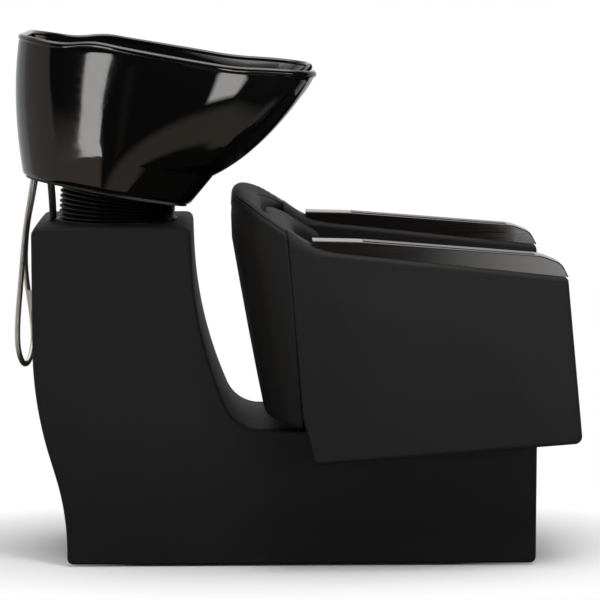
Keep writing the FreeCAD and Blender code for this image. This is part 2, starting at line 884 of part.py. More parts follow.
def pivot_washers():
    """Friction washers between the fixed and the tilting ears."""
    outer = bracket_ear_inner_y
    inner = outer - pivot_washer_thickness
    washer = rod((pivot_x, inner, pivot_height), Vec(0, 1, 0), pivot_washer_radius, outer - inner)
    bore = rod((pivot_x, 0, pivot_height), Vec(0, 1, 0), pivot_bolt_radius + running_gap, base_width)
    return both_sides(washer.cut(bore))


def cradle():
    """Steel plate under the basin's foot with two ears down to the pivot."""
    outline = inset_corners(basin_corners(0), cradle_inset)
    plate = level_prism(outline, cradle_bottom, basin_bottom)
    low = cradle_bottom - cut_over
    high = basin_bottom + cut_over
    plate = plate.cut(upright(pivot_x, 0, low, high, drain_passage_radius))
    slot_front = pivot_x - upper_ring_radius - supply_slot_front_gap
    plate = plate.cut(block((slot_front - supply_slot_length, -supply_slot_half_width, low),
                            (slot_front, supply_slot_half_width, high)))
    plate = plate.cut(both_sides(upright(tap_x, tap_half_spacing, low, high, grommet_radius)))
    tip = pivot_height - cradle_ear_tip_radius
    half = cradle_ear_width / 2
    corners = [(pivot_x - cradle_ear_tip_radius, tip, cradle_ear_tip_radius * ear_tip_round_share),
               (pivot_x + cradle_ear_tip_radius, tip, cradle_ear_tip_radius * ear_tip_round_share),
               (pivot_x + half, cradle_bottom + cradle_plate_thickness / 2, 0),
               (pivot_x - half, cradle_bottom + cradle_plate_thickness / 2, 0)]
    outer = cradle_ear_outer_y()
    ear = side_prism(corners, outer - cradle_ear_thickness, outer)
    whole = plate.fuse(ear).fuse(mirror_y(ear)).removeSplitter()
    return whole.cut(rod((pivot_x, -base_width, pivot_height), Vec(0, 1, 0),
                         pivot_bolt_radius + running_gap, 2 * base_width))


# Bellows
def annulus(low_z, high_z, outer_radius, inner_radius):
    """Flat ring about the pivot's vertical axis."""
    outer = upright(pivot_x, 0, low_z, high_z, outer_radius)
    return outer.cut(upright(pivot_x, 0, low_z - cut_over, high_z + cut_over, inner_radius))


def bellows_circle(share, radius):
    """Circle of the bellows: its plane fans from level to the basin's tilt."""
    low = Vec(pivot_x, 0, bellows_bottom)
    high = tilted_point(pivot_x, 0, bellows_top)
    angle = math.radians(basin_rest_tilt * share)
    normal = Vec(math.sin(angle), 0, math.cos(angle))
    circle = Part.Circle(low + (high - low) * share, normal, radius)
    circle.XAxis = Vec(math.cos(angle), 0, -math.sin(angle))
    return Part.Wire([circle.toShape()])


def bellows():
    """Ribbed rubber bellows as a ruled skin with a bore."""
    def skin(root, crest):
        wires = []
        for rib in range(bellows_ribs):
            for offset, radius in ((0, root), (0.5 - bellows_rib_flat_share, crest),
                                   (0.5 + bellows_rib_flat_share, crest),
                                   (1 - bellows_rib_flat_share, root)):
                wires.append(bellows_circle((rib + offset) / bellows_ribs, radius))
        wires.append(bellows_circle(1, root))
        return Part.makeLoft(wires, True, True)

    outer = skin(bellows_root_radius, bellows_crest_radius)
    inner = skin(bellows_root_radius - bellows_wall, bellows_crest_radius - bellows_wall)
    return outer.cut(inner)


def ring_screws():
    """Small bright screws on the bellows' lower ring."""
    pieces = []
    for angle in (ring_screw_angle, 180 - ring_screw_angle):
        x = pivot_x + ring_screw_circle_radius * math.cos(math.radians(angle))
        y = ring_screw_circle_radius * math.sin(math.radians(angle))
        pieces.append(upright(x, y, bellows_bottom, bellows_bottom + ring_screw_head_height,
                              ring_screw_head_radius))
    return Part.makeCompound(pieces + [mirror_y(piece) for piece in pieces])


# Ceramic basin
def basin_corners(index):
    """Plan outline of the basin at one of its named levels, anticlockwise."""
    height, rear, front, side_half, rear_half = basin_slice_shares[index]
    rear_x = basin_rear_x + rear * basin_length
    front_x = basin_front_x - front * basin_length
    side_x = rear_x + basin_side_corner_share * (front_x - rear_x)
    side_y = side_half * basin_width
    rear_y = rear_half * basin_width
    front_y = side_y * front_width_share
    in_foot = index < foot_slice_count
    side_radius = foot_side_radius if in_foot else basin_side_radius
    front_radius = foot_front_radius if in_foot else basin_front_radius
    rear_radius = min(basin_rear_radius, rear_y * basin_rear_round_share)
    return [(rear_x, -rear_y, rear_radius), (side_x, -side_y, side_radius),
            (front_x, -front_y, front_radius), (front_x, front_y, front_radius),
            (side_x, side_y, side_radius), (rear_x, rear_y, rear_radius)]


def slice_height(index):
    """Height of a named level of the basin."""
    return basin_bottom + basin_slice_shares[index][0] * basin_height


def basin_loft(indices, inset):
    """Smooth body through the basin's outlines at the given levels."""
    wires = [rounded_wire(inset_corners(basin_corners(index), inset),
                          level_plane(slice_height(index))) for index in indices]
    return Part.makeLoft(wires, True, False)


def rim_cutter():
    """Everything above the basin's rim line."""
    ceiling = rim_height + basin_height
    corners = [(basin_rear_x + run * basin_length, rim_height + rise * basin_height,
                rim_bend_radius if 0 < run < 1 else 0) for run, rise in rim_line_shares]
    corners += [(corners[-1][0], ceiling, 0), (corners[0][0], ceiling, 0)]
    return side_prism(corners, -basin_width, basin_width)


def bowl_cavity():
    """Space of the bowl: narrow at the drain, stepped over the rear ledge."""
    top = len(basin_slice_shares) - 1
    rear = bowl_rear_x + bowl_floor_rear_gap
    front = basin_front_x - bowl_floor_front_inset
    middle = (rear + front) / 2
    wide = bowl_floor_half_width
    narrow = wide * front_width_share
    floor = [(rear, -wide, bowl_floor_radius), (middle, -wide, bowl_floor_side_radius),
             (front, -narrow, bowl_floor_radius), (front, narrow, bowl_floor_radius),
             (middle, wide, bowl_floor_side_radius), (rear, wide, bowl_floor_radius)]
    wires = [rounded_wire(floor, level_plane(bowl_floor))]
    for index in range(foot_slice_count + 1, top + 1):
        wall = inset_corners(basin_corners(index), bowl_wall)
        wires.append(rounded_wire(wall, level_plane(slice_height(index))))
    return Part.makeLoft(wires, True, False).cut(ledge_body())


def ledge_body():
    """Rear ledge, whose front face turns forward into the bowl's sides."""
    wide = ledge_half_width + ledge_flare * basin_length
    corners = [(basin_rear_x - cut_over, -wide, 0), (bowl_rear_x + basin_length, -wide, 0),
               (bowl_rear_x, -ledge_half_width, ledge_corner_radius),
               (bowl_rear_x, ledge_half_width, ledge_corner_radius),
               (bowl_rear_x + basin_length, wide, 0), (basin_rear_x - cut_over, wide, 0)]
    return level_prism(corners, basin_bottom - cut_over, ledge_top)


def neck_notch():
    """Round-bottomed dip for the neck in the front rim."""
    unit = Part.makeCylinder(1, notch_reach, Vec(0, 0, 0), Vec(1, 0, 0))
    stretch = FreeCAD.Matrix()
    stretch.scale(1, notch_half_width, notch_depth)
    cutter = unit.transformGeometry(stretch)
    cutter.translate(Vec(basin_front_x - notch_reach / 2, 0, rim_height))
    above = block((basin_front_x - notch_reach / 2, -notch_half_width, rim_height),
                  (basin_front_x + notch_reach / 2, notch_half_width, rim_height + notch_reach))
    return cutter.fuse(above)


def under_cavity():
    """Open space under the bowl inside the foot, and under the rear ledge."""
    inner = basin_loft(range(foot_slice_count), basin_wall)
    foot = inner.common(block((bowl_rear_x - bowl_wall, -basin_width, basin_bottom),
                              (basin_front_x, basin_width, bowl_floor - basin_floor_thickness)))
    upper = basin_loft(range(foot_slice_count - 1, len(basin_slice_shares)), basin_wall)
    rear = inner.fuse(upper).common(block(
        (basin_rear_x, -under_ledge_half_width, basin_bottom),
        (bowl_rear_x - bowl_wall, under_ledge_half_width, ledge_top - bowl_wall)))
    below = level_prism(inset_corners(basin_corners(0), basin_wall), basin_bottom - cut_over,
                        basin_bottom + hole_gap)
    return foot.fuse([rear, below])


def tap_holes():
    """Round holes in the ledge for the mixer and the shower holder."""
    low = ledge_top - bowl_wall - cut_over
    high = ledge_top + cut_over
    mixer = upright(tap_x, -tap_half_spacing, low, high, mixer_shank_radius + seat_gap)
    shower = upright(tap_x, tap_half_spacing, low, high, holder_sleeve_radius + seat_gap)
    return mixer.fuse(shower)


def basin_bowl():
    """Glazed ceramic basin in one piece."""
    body = basin_loft(range(foot_slice_count), 0)
    belly = basin_loft(range(foot_slice_count - 1, len(basin_slice_shares)), 0)
    body = body.fuse(belly).cut(rim_cutter())
    body = body.cut(bowl_cavity()).cut(neck_notch()).cut(under_cavity()).cut(tap_holes())
    drain = upright(pivot_x, 0, basin_bottom, bowl_floor + cut_over, tailpiece_radius + seat_gap)
    return body.cut(drain).removeSplitter()


# Drain
def drain_flange():
    """Metal waste with its tailpiece, seated on the bowl's floor."""
    top = bowl_floor + drain_flange_thickness
    low = bowl_floor - tailpiece_length
    flange = upright(pivot_x, 0, bowl_floor, top, drain_flange_radius)
    pipe = upright(pivot_x, 0, low, top, tailpiece_radius)
    bore = upright(pivot_x, 0, low - cut_over, top + cut_over, tailpiece_radius - tailpiece_wall)
    return flange.fuse(pipe).cut(bore).removeSplitter()


def strainer():
    """Lift-out cup strainer with a ring of holes."""
    top = bowl_floor + drain_flange_thickness
    lip = upright(pivot_x, 0, top, top + strainer_lip_thickness, strainer_lip_radius)
    cup = upright(pivot_x, 0, top - strainer_depth, top + strainer_lip_thickness, strainer_radius)
    hollow = upright(pivot_x, 0, top - strainer_depth + strainer_wall,
                     top + strainer_lip_thickness + cut_over, strainer_radius - strainer_wall)
    piece = lip.fuse(cup).removeSplitter().cut(hollow)
    for index in range(strainer_hole_count):
        angle = 2 * math.pi * index / strainer_hole_count
        piece = piece.cut(upright(pivot_x + strainer_hole_circle_radius * math.cos(angle),
                                  strainer_hole_circle_radius * math.sin(angle),
                                  top - strainer_depth - cut_over, top, strainer_hole_radius))
    return piece


def drain_hose():
    """Flexible drain hose from the tailpiece down to the waste pipe."""
    top = tilted_point(pivot_x, 0, bowl_floor - tailpiece_length)
    middle = Vec(pivot_x, 0, pivot_height)
    points = [tuple(top), tuple(middle), (pivot_x, 0, drain_hose_low_height)]
    outer = tube_along(points, drain_hose_radius, "drain_hose")
    return outer.cut(tube_along(points, drain_hose_radius - drain_hose_wall, "drain_hose_bore"))


# Taps
def mixer_body():
    """Mixer body on the ledge, with its shank and lock nut below."""
    y = -tap_half_spacing
    under = ledge_top - bowl_wall
    parts = [upright(tap_x, y, ledge_top, ledge_top + mixer_flange_thickness, mixer_flange_radius),
             upright(tap_x, y, ledge_top, ledge_top + mixer_body_height, mixer_body_radius),
             upright(tap_x, y, ledge_top - mixer_shank_length, ledge_top, mixer_shank_radius),
             upright(tap_x, y, under - mixer_nut_height, under, mixer_nut_radius)]
    body = parts[0].fuse(parts[1:]).removeSplitter()
    return body


def mixer_base_z():
    """Lower end of the mixer's shank."""
    return ledge_top - mixer_shank_length


def mixer_cap():
    """Turning cap of the mixer with the slot of its lever."""
    low = ledge_top + mixer_body_height + pivot_face_gap
    cap = upright(tap_x, -tap_half_spacing, low, low + mixer_cap_height, mixer_cap_radius)
    half = lever_slot_width / 2
    slot = block((tap_x - lever_slot_depth / 2, -tap_half_spacing - half, low + mixer_cap_height -
                  lever_slot_depth),
                 (tap_x + mixer_cap_radius + cut_over, -tap_half_spacing + half,
                  low + mixer_cap_height + cut_over))
    pin = rod((tap_x, -tap_half_spacing - half, lever_pin_z()), Vec(0, 1, 0), lever_pin_radius,
              lever_slot_width)
    return cap.cut(slot).fuse(pin)


def lever_pin_z():
    """Height of the lever's pin."""
    low = ledge_top + mixer_body_height + pivot_face_gap
    return low + mixer_cap_height - lever_hub_radius - running_gap


def mixer_lever():
    """Flat lever on its pin, pointing forward over the bowl."""
    y = -tap_half_spacing
    half = lever_width / 2
    hub = rod((tap_x, y - half, lever_pin_z()), Vec(0, 1, 0), lever_hub_radius, lever_width)
    arm = block((tap_x, y - half, lever_pin_z()),
                (tap_x + lever_length, y + half, lever_pin_z() + lever_thickness))
    tip_edges = [edge for edge in arm.Edges if edge.BoundBox.XMin > tap_x + lever_length - hole_gap
                 and edge.BoundBox.ZLength > hole_gap]
    arm = arm.makeFillet(half * lever_tip_round_share, tip_edges)
    bore = rod((tap_x, y - lever_width, lever_pin_z()), Vec(0, 1, 0), lever_pin_radius + running_gap,
               lever_width * 2)
    return hub.fuse(arm).cut(bore).removeSplitter()


def inlet_nuts():
    """Nuts of the supply hoses under the mixer."""
    low = mixer_base_z() - inlet_nut_height
    x = tap_x + mixer_shank_radius - inlet_nut_radius
    return Part.makeCompound([upright(x, -tap_half_spacing + side * inlet_half_spacing, low,
                                      mixer_base_z(), inlet_nut_radius - hole_gap)
                              for side in (-1, 1)])


def shower_holder():
    """Sleeve in the ledge that holds the hand shower upright."""
    y = tap_half_spacing
    under = ledge_top - bowl_wall
    low = under - holder_nut_height
    flange = upright(tap_x, y, ledge_top, ledge_top + holder_height, holder_flange_radius)
    sleeve = upright(tap_x, y, low, ledge_top + holder_height, holder_sleeve_radius)
    nut = upright(tap_x, y, low, under, holder_nut_radius)
    bore = upright(tap_x, y, low - cut_over, ledge_top + holder_height + cut_over,
                   holder_sleeve_radius - holder_wall)
    return flange.fuse([sleeve, nut]).cut(bore).removeSplitter()


def shower_collar_z():
    """Height at which the handle's collar rests on the holder."""
    return ledge_top + holder_height


def hand_shower():
    """Hand shower: handle through the holder, collar and tilted head."""
    y = tap_half_spacing
    low = basin_bottom + handle_low_height
    neck = basin_bottom + handle_neck_height
    handle = upright(tap_x, y, low, neck, handle_radius)
    collar = upright(tap_x, y, shower_collar_z(), shower_collar_z() + holder_wall,
                     holder_sleeve_radius)
    tilt = math.radians(shower_head_tilt)
    direction = Vec(math.sin(tilt), 0, math.cos(tilt))
    start = Vec(tap_x - handle_radius / 2, y, neck)
    head = Part.makeCone(handle_radius, shower_head_radius, shower_head_length, start, direction)
    ball = Part.makeSphere(handle_radius, start)
    return handle.fuse([collar, head, ball]).removeSplitter()


def shower_face():
    """Spray plate on the hand shower's head."""
    tilt = math.radians(shower_head_tilt)
    direction = Vec(math.sin(tilt), 0, math.cos(tilt))
    start = Vec(tap_x - handle_radius / 2, tap_half_spacing, basin_bottom + handle_neck_height)
    return rod(tuple(start + direction * shower_head_length), direction, shower_face_radius,
               shower_face_thickness)


def hose_riser():
    """Straight steel hose from the grommet up to the hand shower, which it follows."""
    return upright(tap_x, tap_half_spacing, basin_bottom, basin_bottom + handle_low_height,
                   steel_hose_radius)


def hose_mixer_tail():
    """Steel hose from the mixer down to its grommet."""
    return upright(tap_x, -tap_half_spacing, basin_bottom, mixer_base_z(), steel_hose_radius)


def hose_grommets():
    """Rubber grommets in the cradle plate that lead the steel hose out."""
    low = basin_bottom - grommet_height
    ring = upright(tap_x, tap_half_spacing, low, basin_bottom, grommet_radius)
    bore = upright(tap_x, tap_half_spacing, low - cut_over, basin_bottom + cut_over,
                   steel_hose_radius + grommet_gap)
    return both_sides(ring.cut(bore))


def spray_hose():
    """Free loop of steel hose that hangs behind the base."""
    return tube_along(hose_points(), steel_hose_radius, "spray_hose")


def hose_points():
    """Route of the free loop, which leaves both grommets square to the cradle plate."""
    top = basin_bottom
    low = top - hose_straight_length
    near = [tuple(tilted_point(tap_x, -tap_half_spacing, height)) for height in (top, low)]
    far = [tuple(tilted_point(tap_x, tap_half_spacing, height)) for height in (low, top)]
    return near + column_route(hose_route) + far


def column_route(route):
    """Route points with their heights measured from the column's top."""
    return [(x, y, column_height + z) for x, y, z in route]


def hose_tag():
    """Blank paper tag on the loop's front strand."""
    low, high = [Vec(*point) for point in column_route(hose_route[-3:-1])]
    place = low + (high - low) * tag_place_share
    tag = block((-tag_width / 2, steel_hose_radius + seat_gap, 0),
                (tag_width / 2, steel_hose_radius + seat_gap + tag_thickness, tag_height))
    lean = math.degrees(math.atan2(high.x - low.x, high.z - low.z))
    tag.rotate(Vec(0, 0, 0), Vec(0, 1, 0), lean)
    tag.translate(place)
    return tag


# Supply hoses
def supply_hose(side, route):
    """Flexible supply hose from the mixer's inlet down into the column."""
    x = tap_x + mixer_shank_radius - inlet_nut_radius
    inlet_y = -tap_half_spacing + side * inlet_half_spacing
    inlet_z = mixer_base_z() - inlet_nut_height
    top = [tuple(tilted_point(x, inlet_y, z)) for z in (inlet_z, inlet_z - supply_inlet_straight)]
    hole_x = pivot_x - supply_hole_behind_pivot
    hole_y = side * supply_half_spacing
    low = [(hole_x, hole_y, supply_low_height + supply_hole_straight),
           (hole_x, hole_y, supply_low_height)]
    return tube_along(top + column_route(route) + low, supply_hose_radius,
                      "supply_hose " + str(side))


def supply_tails():
    """Lower supply hoses inside the column, vertical at both ends."""
    hole_x = pivot_x - supply_hole_behind_pivot
    high = supply_low_height - tail_straight
    low = tail_end_height + tail_straight
    points = [(hole_x, supply_half_spacing, supply_low_height), (hole_x, supply_half_spacing, high)]
    points += [(x, y, low + share * (high - low)) for x, y, share in tail_route_shares]
    points += [(tail_x, tail_half_spacing, low), (tail_x, tail_half_spacing, tail_end_height)]
    return both_sides(tube_along(points, supply_hose_radius, "supply_tail"))


def supply_tail_nuts():
    """Female nuts at the lower ends of the supply hoses."""
    y = tail_half_spacing
    low = tail_end_height - tail_nut_height
    nut = upright(tail_x, y, low, tail_end_height, tail_nut_radius)
    bore = upright(tail_x, y, low - cut_over, low + tail_nut_bore_depth, tail_nut_bore_radius)
    return both_sides(nut.cut(bore))


# Chair
def back_side_corners(inset, top_drop):
    """Side outline of the tub back, anticlockwise; the top line drops to the shoulders."""
    slope = (back_top_corner_height - shoulder_height) / (back_rear_x - shoulder_x)
    front_x = shoulder_x + chair_half_width
    front_top = shoulder_height + slope * (front_x - shoulder_x)
    outline = [(back_low_rear_x, chair_bottom, back_low_radius),
               (front_x, chair_bottom, 0),
               (front_x, front_top - top_drop, 0),
               (back_rear_x, back_top_corner_height - top_drop, back_top_radius),
               (back_rear_x, back_knee_height, back_knee_radius)]
    return inset_corners(outline, inset) if inset else outline


def tub_rear_x(height):
    """Rear face of the tub at a height, on straight lines."""
    if height >= back_knee_height:
        return back_rear_x
    share = (back_knee_height - height) / (back_knee_height - chair_bottom)
    return back_rear_x + share * (back_low_rear_x - back_rear_x)


def tub_wire(height, inset):
    """Plan outline of the tub at a height."""
    rear = tub_rear_x(height)
    front = shoulder_x + tub_side_corner
    corners = [(rear, -tub_rear_corner_y, tub_rear_radius),
               (rear + tub_side_corner, -chair_half_width, tub_side_radius),
               (front, -chair_half_width, 0), (front, chair_half_width, 0),
               (rear + tub_side_corner, chair_half_width, tub_side_radius),
               (rear, tub_rear_corner_y, tub_rear_radius)]
    moved = inset_corners(corners, inset)
    moved[2] = (front, moved[2][1], 0)
    moved[3] = (front, moved[3][1], 0)
    return rounded_wire(moved, level_plane(height))


def tub_block(inset):
    """Whole tub volume inside an inset, from below the chair to above its top."""
    low = chair_bottom - cut_over
    lower = Part.makeLoft([tub_wire(low, inset), tub_wire(back_knee_height, inset)], True, True)
    upper = Part.makeLoft([tub_wire(back_knee_height, inset), tub_wire(tub_ceiling, inset)],
                          True, True)
    return lower.fuse(upper).removeSplitter()


def tub_layer(outer_inset, inner_inset):
    """Wall of the tub between two insets."""
    return tub_block(outer_inset).cut(tub_block(inner_inset))


def seam_cutter():
    """Everything in front of the seam between the back and the arms."""
    reach = chair_half_width + shoulder_x
    corners = [(seam_low_x, chair_bottom - chair_half_width, 0),
               (reach, chair_bottom - chair_half_width, 0),
               (reach, tub_ceiling + cut_over, 0),
               (seam_top_x - (tub_ceiling + cut_over - shoulder_height) * seam_slope(),
                tub_ceiling + cut_over, 0),
               (seam_low_x, seam_low_height, 0)]
    return side_prism(corners, -chair_half_width - cut_over, chair_half_width + cut_over)


def seam_slope():
    """Forward run of the seam for each unit of height, downwards."""
    return (seam_low_x - seam_top_x) / (shoulder_height - seam_low_height)


def back_prism(top_drop):
    """Side silhouette of the back across the whole chair."""
    return side_prism(back_side_corners(0, top_drop), -chair_half_width - cut_over,
                      chair_half_width + cut_over)


def back_layers():
    """Outer shell, bent frame, inner lining and the roll that closes their top."""
    insets = [0, shell_thickness, shell_thickness + back_frame_thickness,
              shell_thickness + back_frame_thickness + lining_thickness]
    whole = back_prism(0)
    core = back_prism(top_roll_depth)
    cutter = seam_cutter()
    layers = [tub_layer(a, b).common(core).cut(cutter) for a, b in zip(insets, insets[1:])]
    roll = tub_layer(insets[0], insets[-1]).common(whole).cut(core).cut(cutter)
    return layers + [roll.removeSplitter()]


def back_cushion():
    """Inner back cushion, which wraps forward between the arms."""
    outer = shell_thickness + back_frame_thickness + lining_thickness + seat_gap
    layer = tub_layer(outer, outer + back_cushion_thickness)
    half = arm_inner_y - seat_side_gap
    front = seat_cushion_rear_x - back_cushion_front_gap
    corners = [(back_rear_x, -half, 0), (front, -half, back_cushion_end_radius),
               (front, half, back_cushion_end_radius), (back_rear_x, half, 0)]
    zone = level_prism(corners, seat_deck_top + seat_gap, tub_ceiling)
    return layer.common(back_prism(back_cushion_drop)).common(zone)


def seat_deck():
    """Plywood deck between the arms."""
    return block((seat_rear_x, -arm_inner_y, seat_deck_bottom),
                 (seat_front_x, arm_inner_y, seat_deck_top))


def chair_rails():
    """Two battens that carry the chair on the platform."""
    y = rail_half_spacing
    rail = block((rail_rear_x, y - rail_width / 2, platform_height),
                 (rail_rear_x + rail_length, y + rail_width / 2, seat_deck_bottom))
    return both_sides(rail)


def seat_cushion():
    """Seat cushion with crown and drawn-in sides, lofted through level outlines."""
    low = seat_deck_top + seat_gap
    half = arm_inner_y - seat_side_gap
    draw = seat_cushion_corner_radius
    wires = []
    for share, inset_share in seat_side_shares:
        inset = inset_share * draw
        corners = [(seat_cushion_rear_x, -half, seat_cushion_corner_radius),
                   (seat_cushion_front_x, -half, seat_cushion_corner_radius),
                   (seat_cushion_front_x, half, seat_cushion_corner_radius),
                   (seat_cushion_rear_x, half, seat_cushion_corner_radius)]
        corners = [(u, v, draw - inset * seat_draw_share)
                   for u, v, radius in inset_corners(corners, inset)]
        wires.append(rounded_wire(corners, level_plane(low + share * seat_cushion_thickness)))
    body = Part.makeLoft(wires, True, True)
    crown = cushion_crown(low + seat_cushion_thickness, half, draw * seat_side_shares[-1][1])
    return body.fuse(crown).removeSplitter()


def cushion_crown(base_z, half, inset):
    """Shallow crown on top of the seat cushion."""
    wires = []
    for share, extra in seat_crown_shares:
        edge = inset + extra * seat_cushion_corner_radius
        radius = seat_cushion_corner_radius * (1 - seat_draw_share + extra * seat_crown_radius_share)
        corners = [(seat_cushion_rear_x + edge, -half + edge, radius),
                   (seat_cushion_front_x - edge, -half + edge, radius),
                   (seat_cushion_front_x - edge, half - edge, radius),
                   (seat_cushion_rear_x + edge, half - edge, radius)]
        wires.append(rounded_wire(corners, level_plane(base_z + share * seat_cushion_crown)))
    return Part.makeLoft(wires, True, True)


def arm_brackets():
    """Steel angles that join the arms to the seat deck."""
    pieces = []
    top = seat_deck_bottom
    for x in (arm_bracket_rear_x, arm_bracket_front_x):
        shelf = block((x, arm_inner_y - arm_bracket_size, top - arm_bracket_thickness),
                      (x + arm_bracket_width, arm_inner_y, top))
        leg = block((x, arm_inner_y - arm_bracket_thickness, top - arm_bracket_size),
                    (x + arm_bracket_width, arm_inner_y, top))
        pieces.append(shelf.fuse(leg).removeSplitter())
    return Part.makeCompound(pieces + [mirror_y(piece) for piece in pieces])


# Arms
def arm_top_z(x):
    """Height of the arm's padded top at a place along it."""
    slope = (arm_front_top - arm_rear_top) / (arm_front_top_x - arm_rear_top_x)
    return arm_rear_top + slope * (x - arm_rear_top_x)


def arm_corners():
    """Side outline of an arm panel, anticlockwise from its lower rear tip."""
    slope = (back_top_corner_height - shoulder_height) / (back_rear_x - shoulder_x)
    top_x = seam_top_x
    top_z = shoulder_height + slope * (top_x - shoulder_x)
    return [(arm_flap_x, arm_flap_bottom, arm_corner_radius / 2),
            (arm_front_x, arm_front_bottom, arm_front_bottom_radius),
            (arm_front_top_x, arm_front_top, arm_corner_radius),
            (arm_rear_top_x, arm_rear_top, arm_shoulder_radius),
            (top_x - (top_z - shoulder_height) * seam_slope(), top_z, 0),
            (seam_low_x, seam_low_height, 0)]


def arm_parts():
    """Outer cover, core board and inner cover of the right-hand arm."""
    corners = arm_corners()
    whole = side_prism(corners, arm_inner_y, chair_half_width)
    long_edges = []
    for edge in whole.Edges:
        box = edge.BoundBox
        flat = box.YLength < hole_gap
        behind_seam = box.XMax < arm_flap_x and box.ZMin > arm_flap_bottom + arm_corner_radius
        if flat and not behind_seam:
            long_edges.append(edge)
    whole = whole.makeFillet(arm_edge_radius, long_edges).cut(cap_prism())
    frame_corners = inset_corners([(u, v, 0) for u, v, radius in corners], arm_frame_inset)
    half = arm_frame_thickness / 2
    frame = side_prism(frame_corners, arm_mid_y - half, arm_mid_y + half)
    hollow = whole.cut(frame)
    outer = hollow.common(block((-chair_half_width, arm_mid_y, 0),
                                (2 * chair_half_width, 2 * chair_half_width, tub_ceiling)))
    inner = hollow.common(block((-chair_half_width, 0, 0),
                                (2 * chair_half_width, arm_mid_y, tub_ceiling)))
    return outer, frame, inner


def cap_corners():
    """Side outline of the arm cap: a wedge that rolls over the front."""
    return [(cap_rear_x, arm_top_z(cap_rear_x), 0),
            (cap_nose_tip_x, arm_top_z(cap_nose_tip_x), 0),
            (cap_nose_x, cap_nose_height, cap_nose_radius),
            (cap_brow_x, cap_brow_height, cap_brow_radius),
            (cap_mid_x, cap_mid_height, cap_mid_radius),
            (cap_rear_x, cap_rear_height, 0)]


def cap_prism():
    """Arm cap before its edges are rounded."""
    half = cap_width / 2
    return side_prism(cap_corners(), arm_mid_y - half, arm_mid_y + half)


def arm_insert():
    """Inlaid plate on top of the cap, along its slope."""
    slope = (cap_brow_height - cap_mid_height) / (cap_brow_x - cap_mid_x)
    low_z = cap_mid_height + slope * (insert_rear_x - cap_mid_x)
    high_z = cap_mid_height + slope * (insert_front_x - cap_radius_start() - cap_mid_x)
    front = insert_front_x - cap_radius_start()
    corners = [(insert_rear_x, low_z + insert_proud - insert_thickness, 0),
               (front, high_z + insert_proud - insert_thickness, 0),
               (front, high_z + insert_proud, 0),
               (insert_rear_x, low_z + insert_proud, 0)]
    half = insert_width / 2
    return side_prism(corners, arm_mid_y - half, arm_mid_y + half)


def cap_radius_start():
    """Length of the cap's brow curve that the plate stays clear of."""
    return cap_brow_radius * insert_clear_share


def arm_cap():
    """Hard cap on the arm, with a pocket for its plate."""
    cap = cap_prism()
    top_edges = [edge for edge in cap.Edges if edge.BoundBox.YLength < hole_gap
                 and edge.CenterOfMass.z > arm_top_z(edge.CenterOfMass.x) + cap_edge_radius * 2]
    return cap.makeFillet(cap_edge_radius, top_edges).cut(arm_insert())


def build():
    """Makes every piece and writes one file for each."""
    os.makedirs("parts", exist_ok=True)
    side_cover = base_side_cover()
    save("base_side_cover_left", side_cover)
    save("base_side_cover_right", mirror_y(side_cover))
    side_board = base_side_board()
    save("base_side_boards", both_sides(side_board))
    rear, top, front = base_strips()
    save("base_rear_cover", rear)
    save("base_top_cover", top)
    save("base_front_cover", front)
    save("column_deck", column_deck())
    save("column_front_panel", column_front_panel())
    save("platform_deck", platform_deck())
    save("base_cross_boards", Part.makeCompound([base_front_board(), pipe_rail()]))
    save("base_rear_board", base_rear_board())
    save("service_panel", service_panel())
    save("service_panel_screws", service_panel_screws())
    save("bottom_board", bottom_board())
    save("glides", glides())
    save("waste_pipe", waste_pipe())
    save("pivot_bracket", pivot_bracket())
    save("bracket_bolts", bracket_bolts())
    save("pivot_bolts", pivot_bolts())
    save("pivot_nuts", pivot_nuts())
    save("friction_washers", pivot_washers())
    save("bellows_lower_ring", annulus(column_height, bellows_bottom, lower_ring_radius,
                                       ring_bore_radius))
    save("bellows_ring_screws", ring_screws())
    save("bellows", bellows())
    save("bellows_upper_ring", tilted(annulus(bellows_top, cradle_bottom, upper_ring_radius,
                                              ring_bore_radius)))
    save("cradle", tilted(cradle()))
    save("basin_bowl", tilted(basin_bowl()))
    save("drain_flange", tilted(drain_flange()))
    save("strainer", tilted(strainer()))
    save("drain_hose", drain_hose())
    save("mixer_body", tilted(Part.makeCompound([mixer_body()] + inlet_nuts().Solids)))
    save("mixer_cap", tilted(mixer_cap()))
    save("mixer_lever", tilted(mixer_lever()))
    save("shower_holder", tilted(shower_holder()))
    save("hand_shower", tilted(Part.makeCompound([hand_shower(), shower_face()])))
    save("hose_riser", tilted(hose_riser()))
    save("hose_mixer_tail", tilted(hose_mixer_tail()))
    save("hose_grommets", tilted(hose_grommets()))
    save("spray_hose", spray_hose())
    save("hose_tag", hose_tag())
    save("supply_hose_hot", supply_hose(-1, supply_hot_route))
    save("supply_hose_cold", supply_hose(1, supply_cold_route))
    save("supply_tails", supply_tails())
    save("supply_tail_nuts", supply_tail_nuts())
    shell, frame, lining, roll = back_layers()
    save("chair_back_shell", shell)
    save("back_frame", frame)
    save("back_inner_cover", lining.fuse(roll).removeSplitter())
    save("back_cushion", back_cushion())
    save("chair_rails", chair_rails())
    save("seat_deck", seat_deck())
    save("seat_cushion", seat_cushion())
    save("arm_brackets", arm_brackets())
    outer, arm_frame, inner = arm_parts()
    cap = arm_cap()
    save("arm_frames", both_sides(arm_frame))
    save("arm_inserts", both_sides(arm_insert()))
    for name, flip in (("left", lambda shape: shape), ("right", mirror_y)):
        save("arm_outer_cover_" + name, flip(outer))
        save("arm_inner_cover_" + name, flip(inner))
        save("arm_cap_" + name, flip(cap))


build()
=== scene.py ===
"""Salon backwash unit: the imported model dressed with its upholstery, glaze, rubber and metal."""
import json
import logging
import math
from dataclasses import dataclass, field
from enum import Enum
from typing import Callable, Optional, Sequence

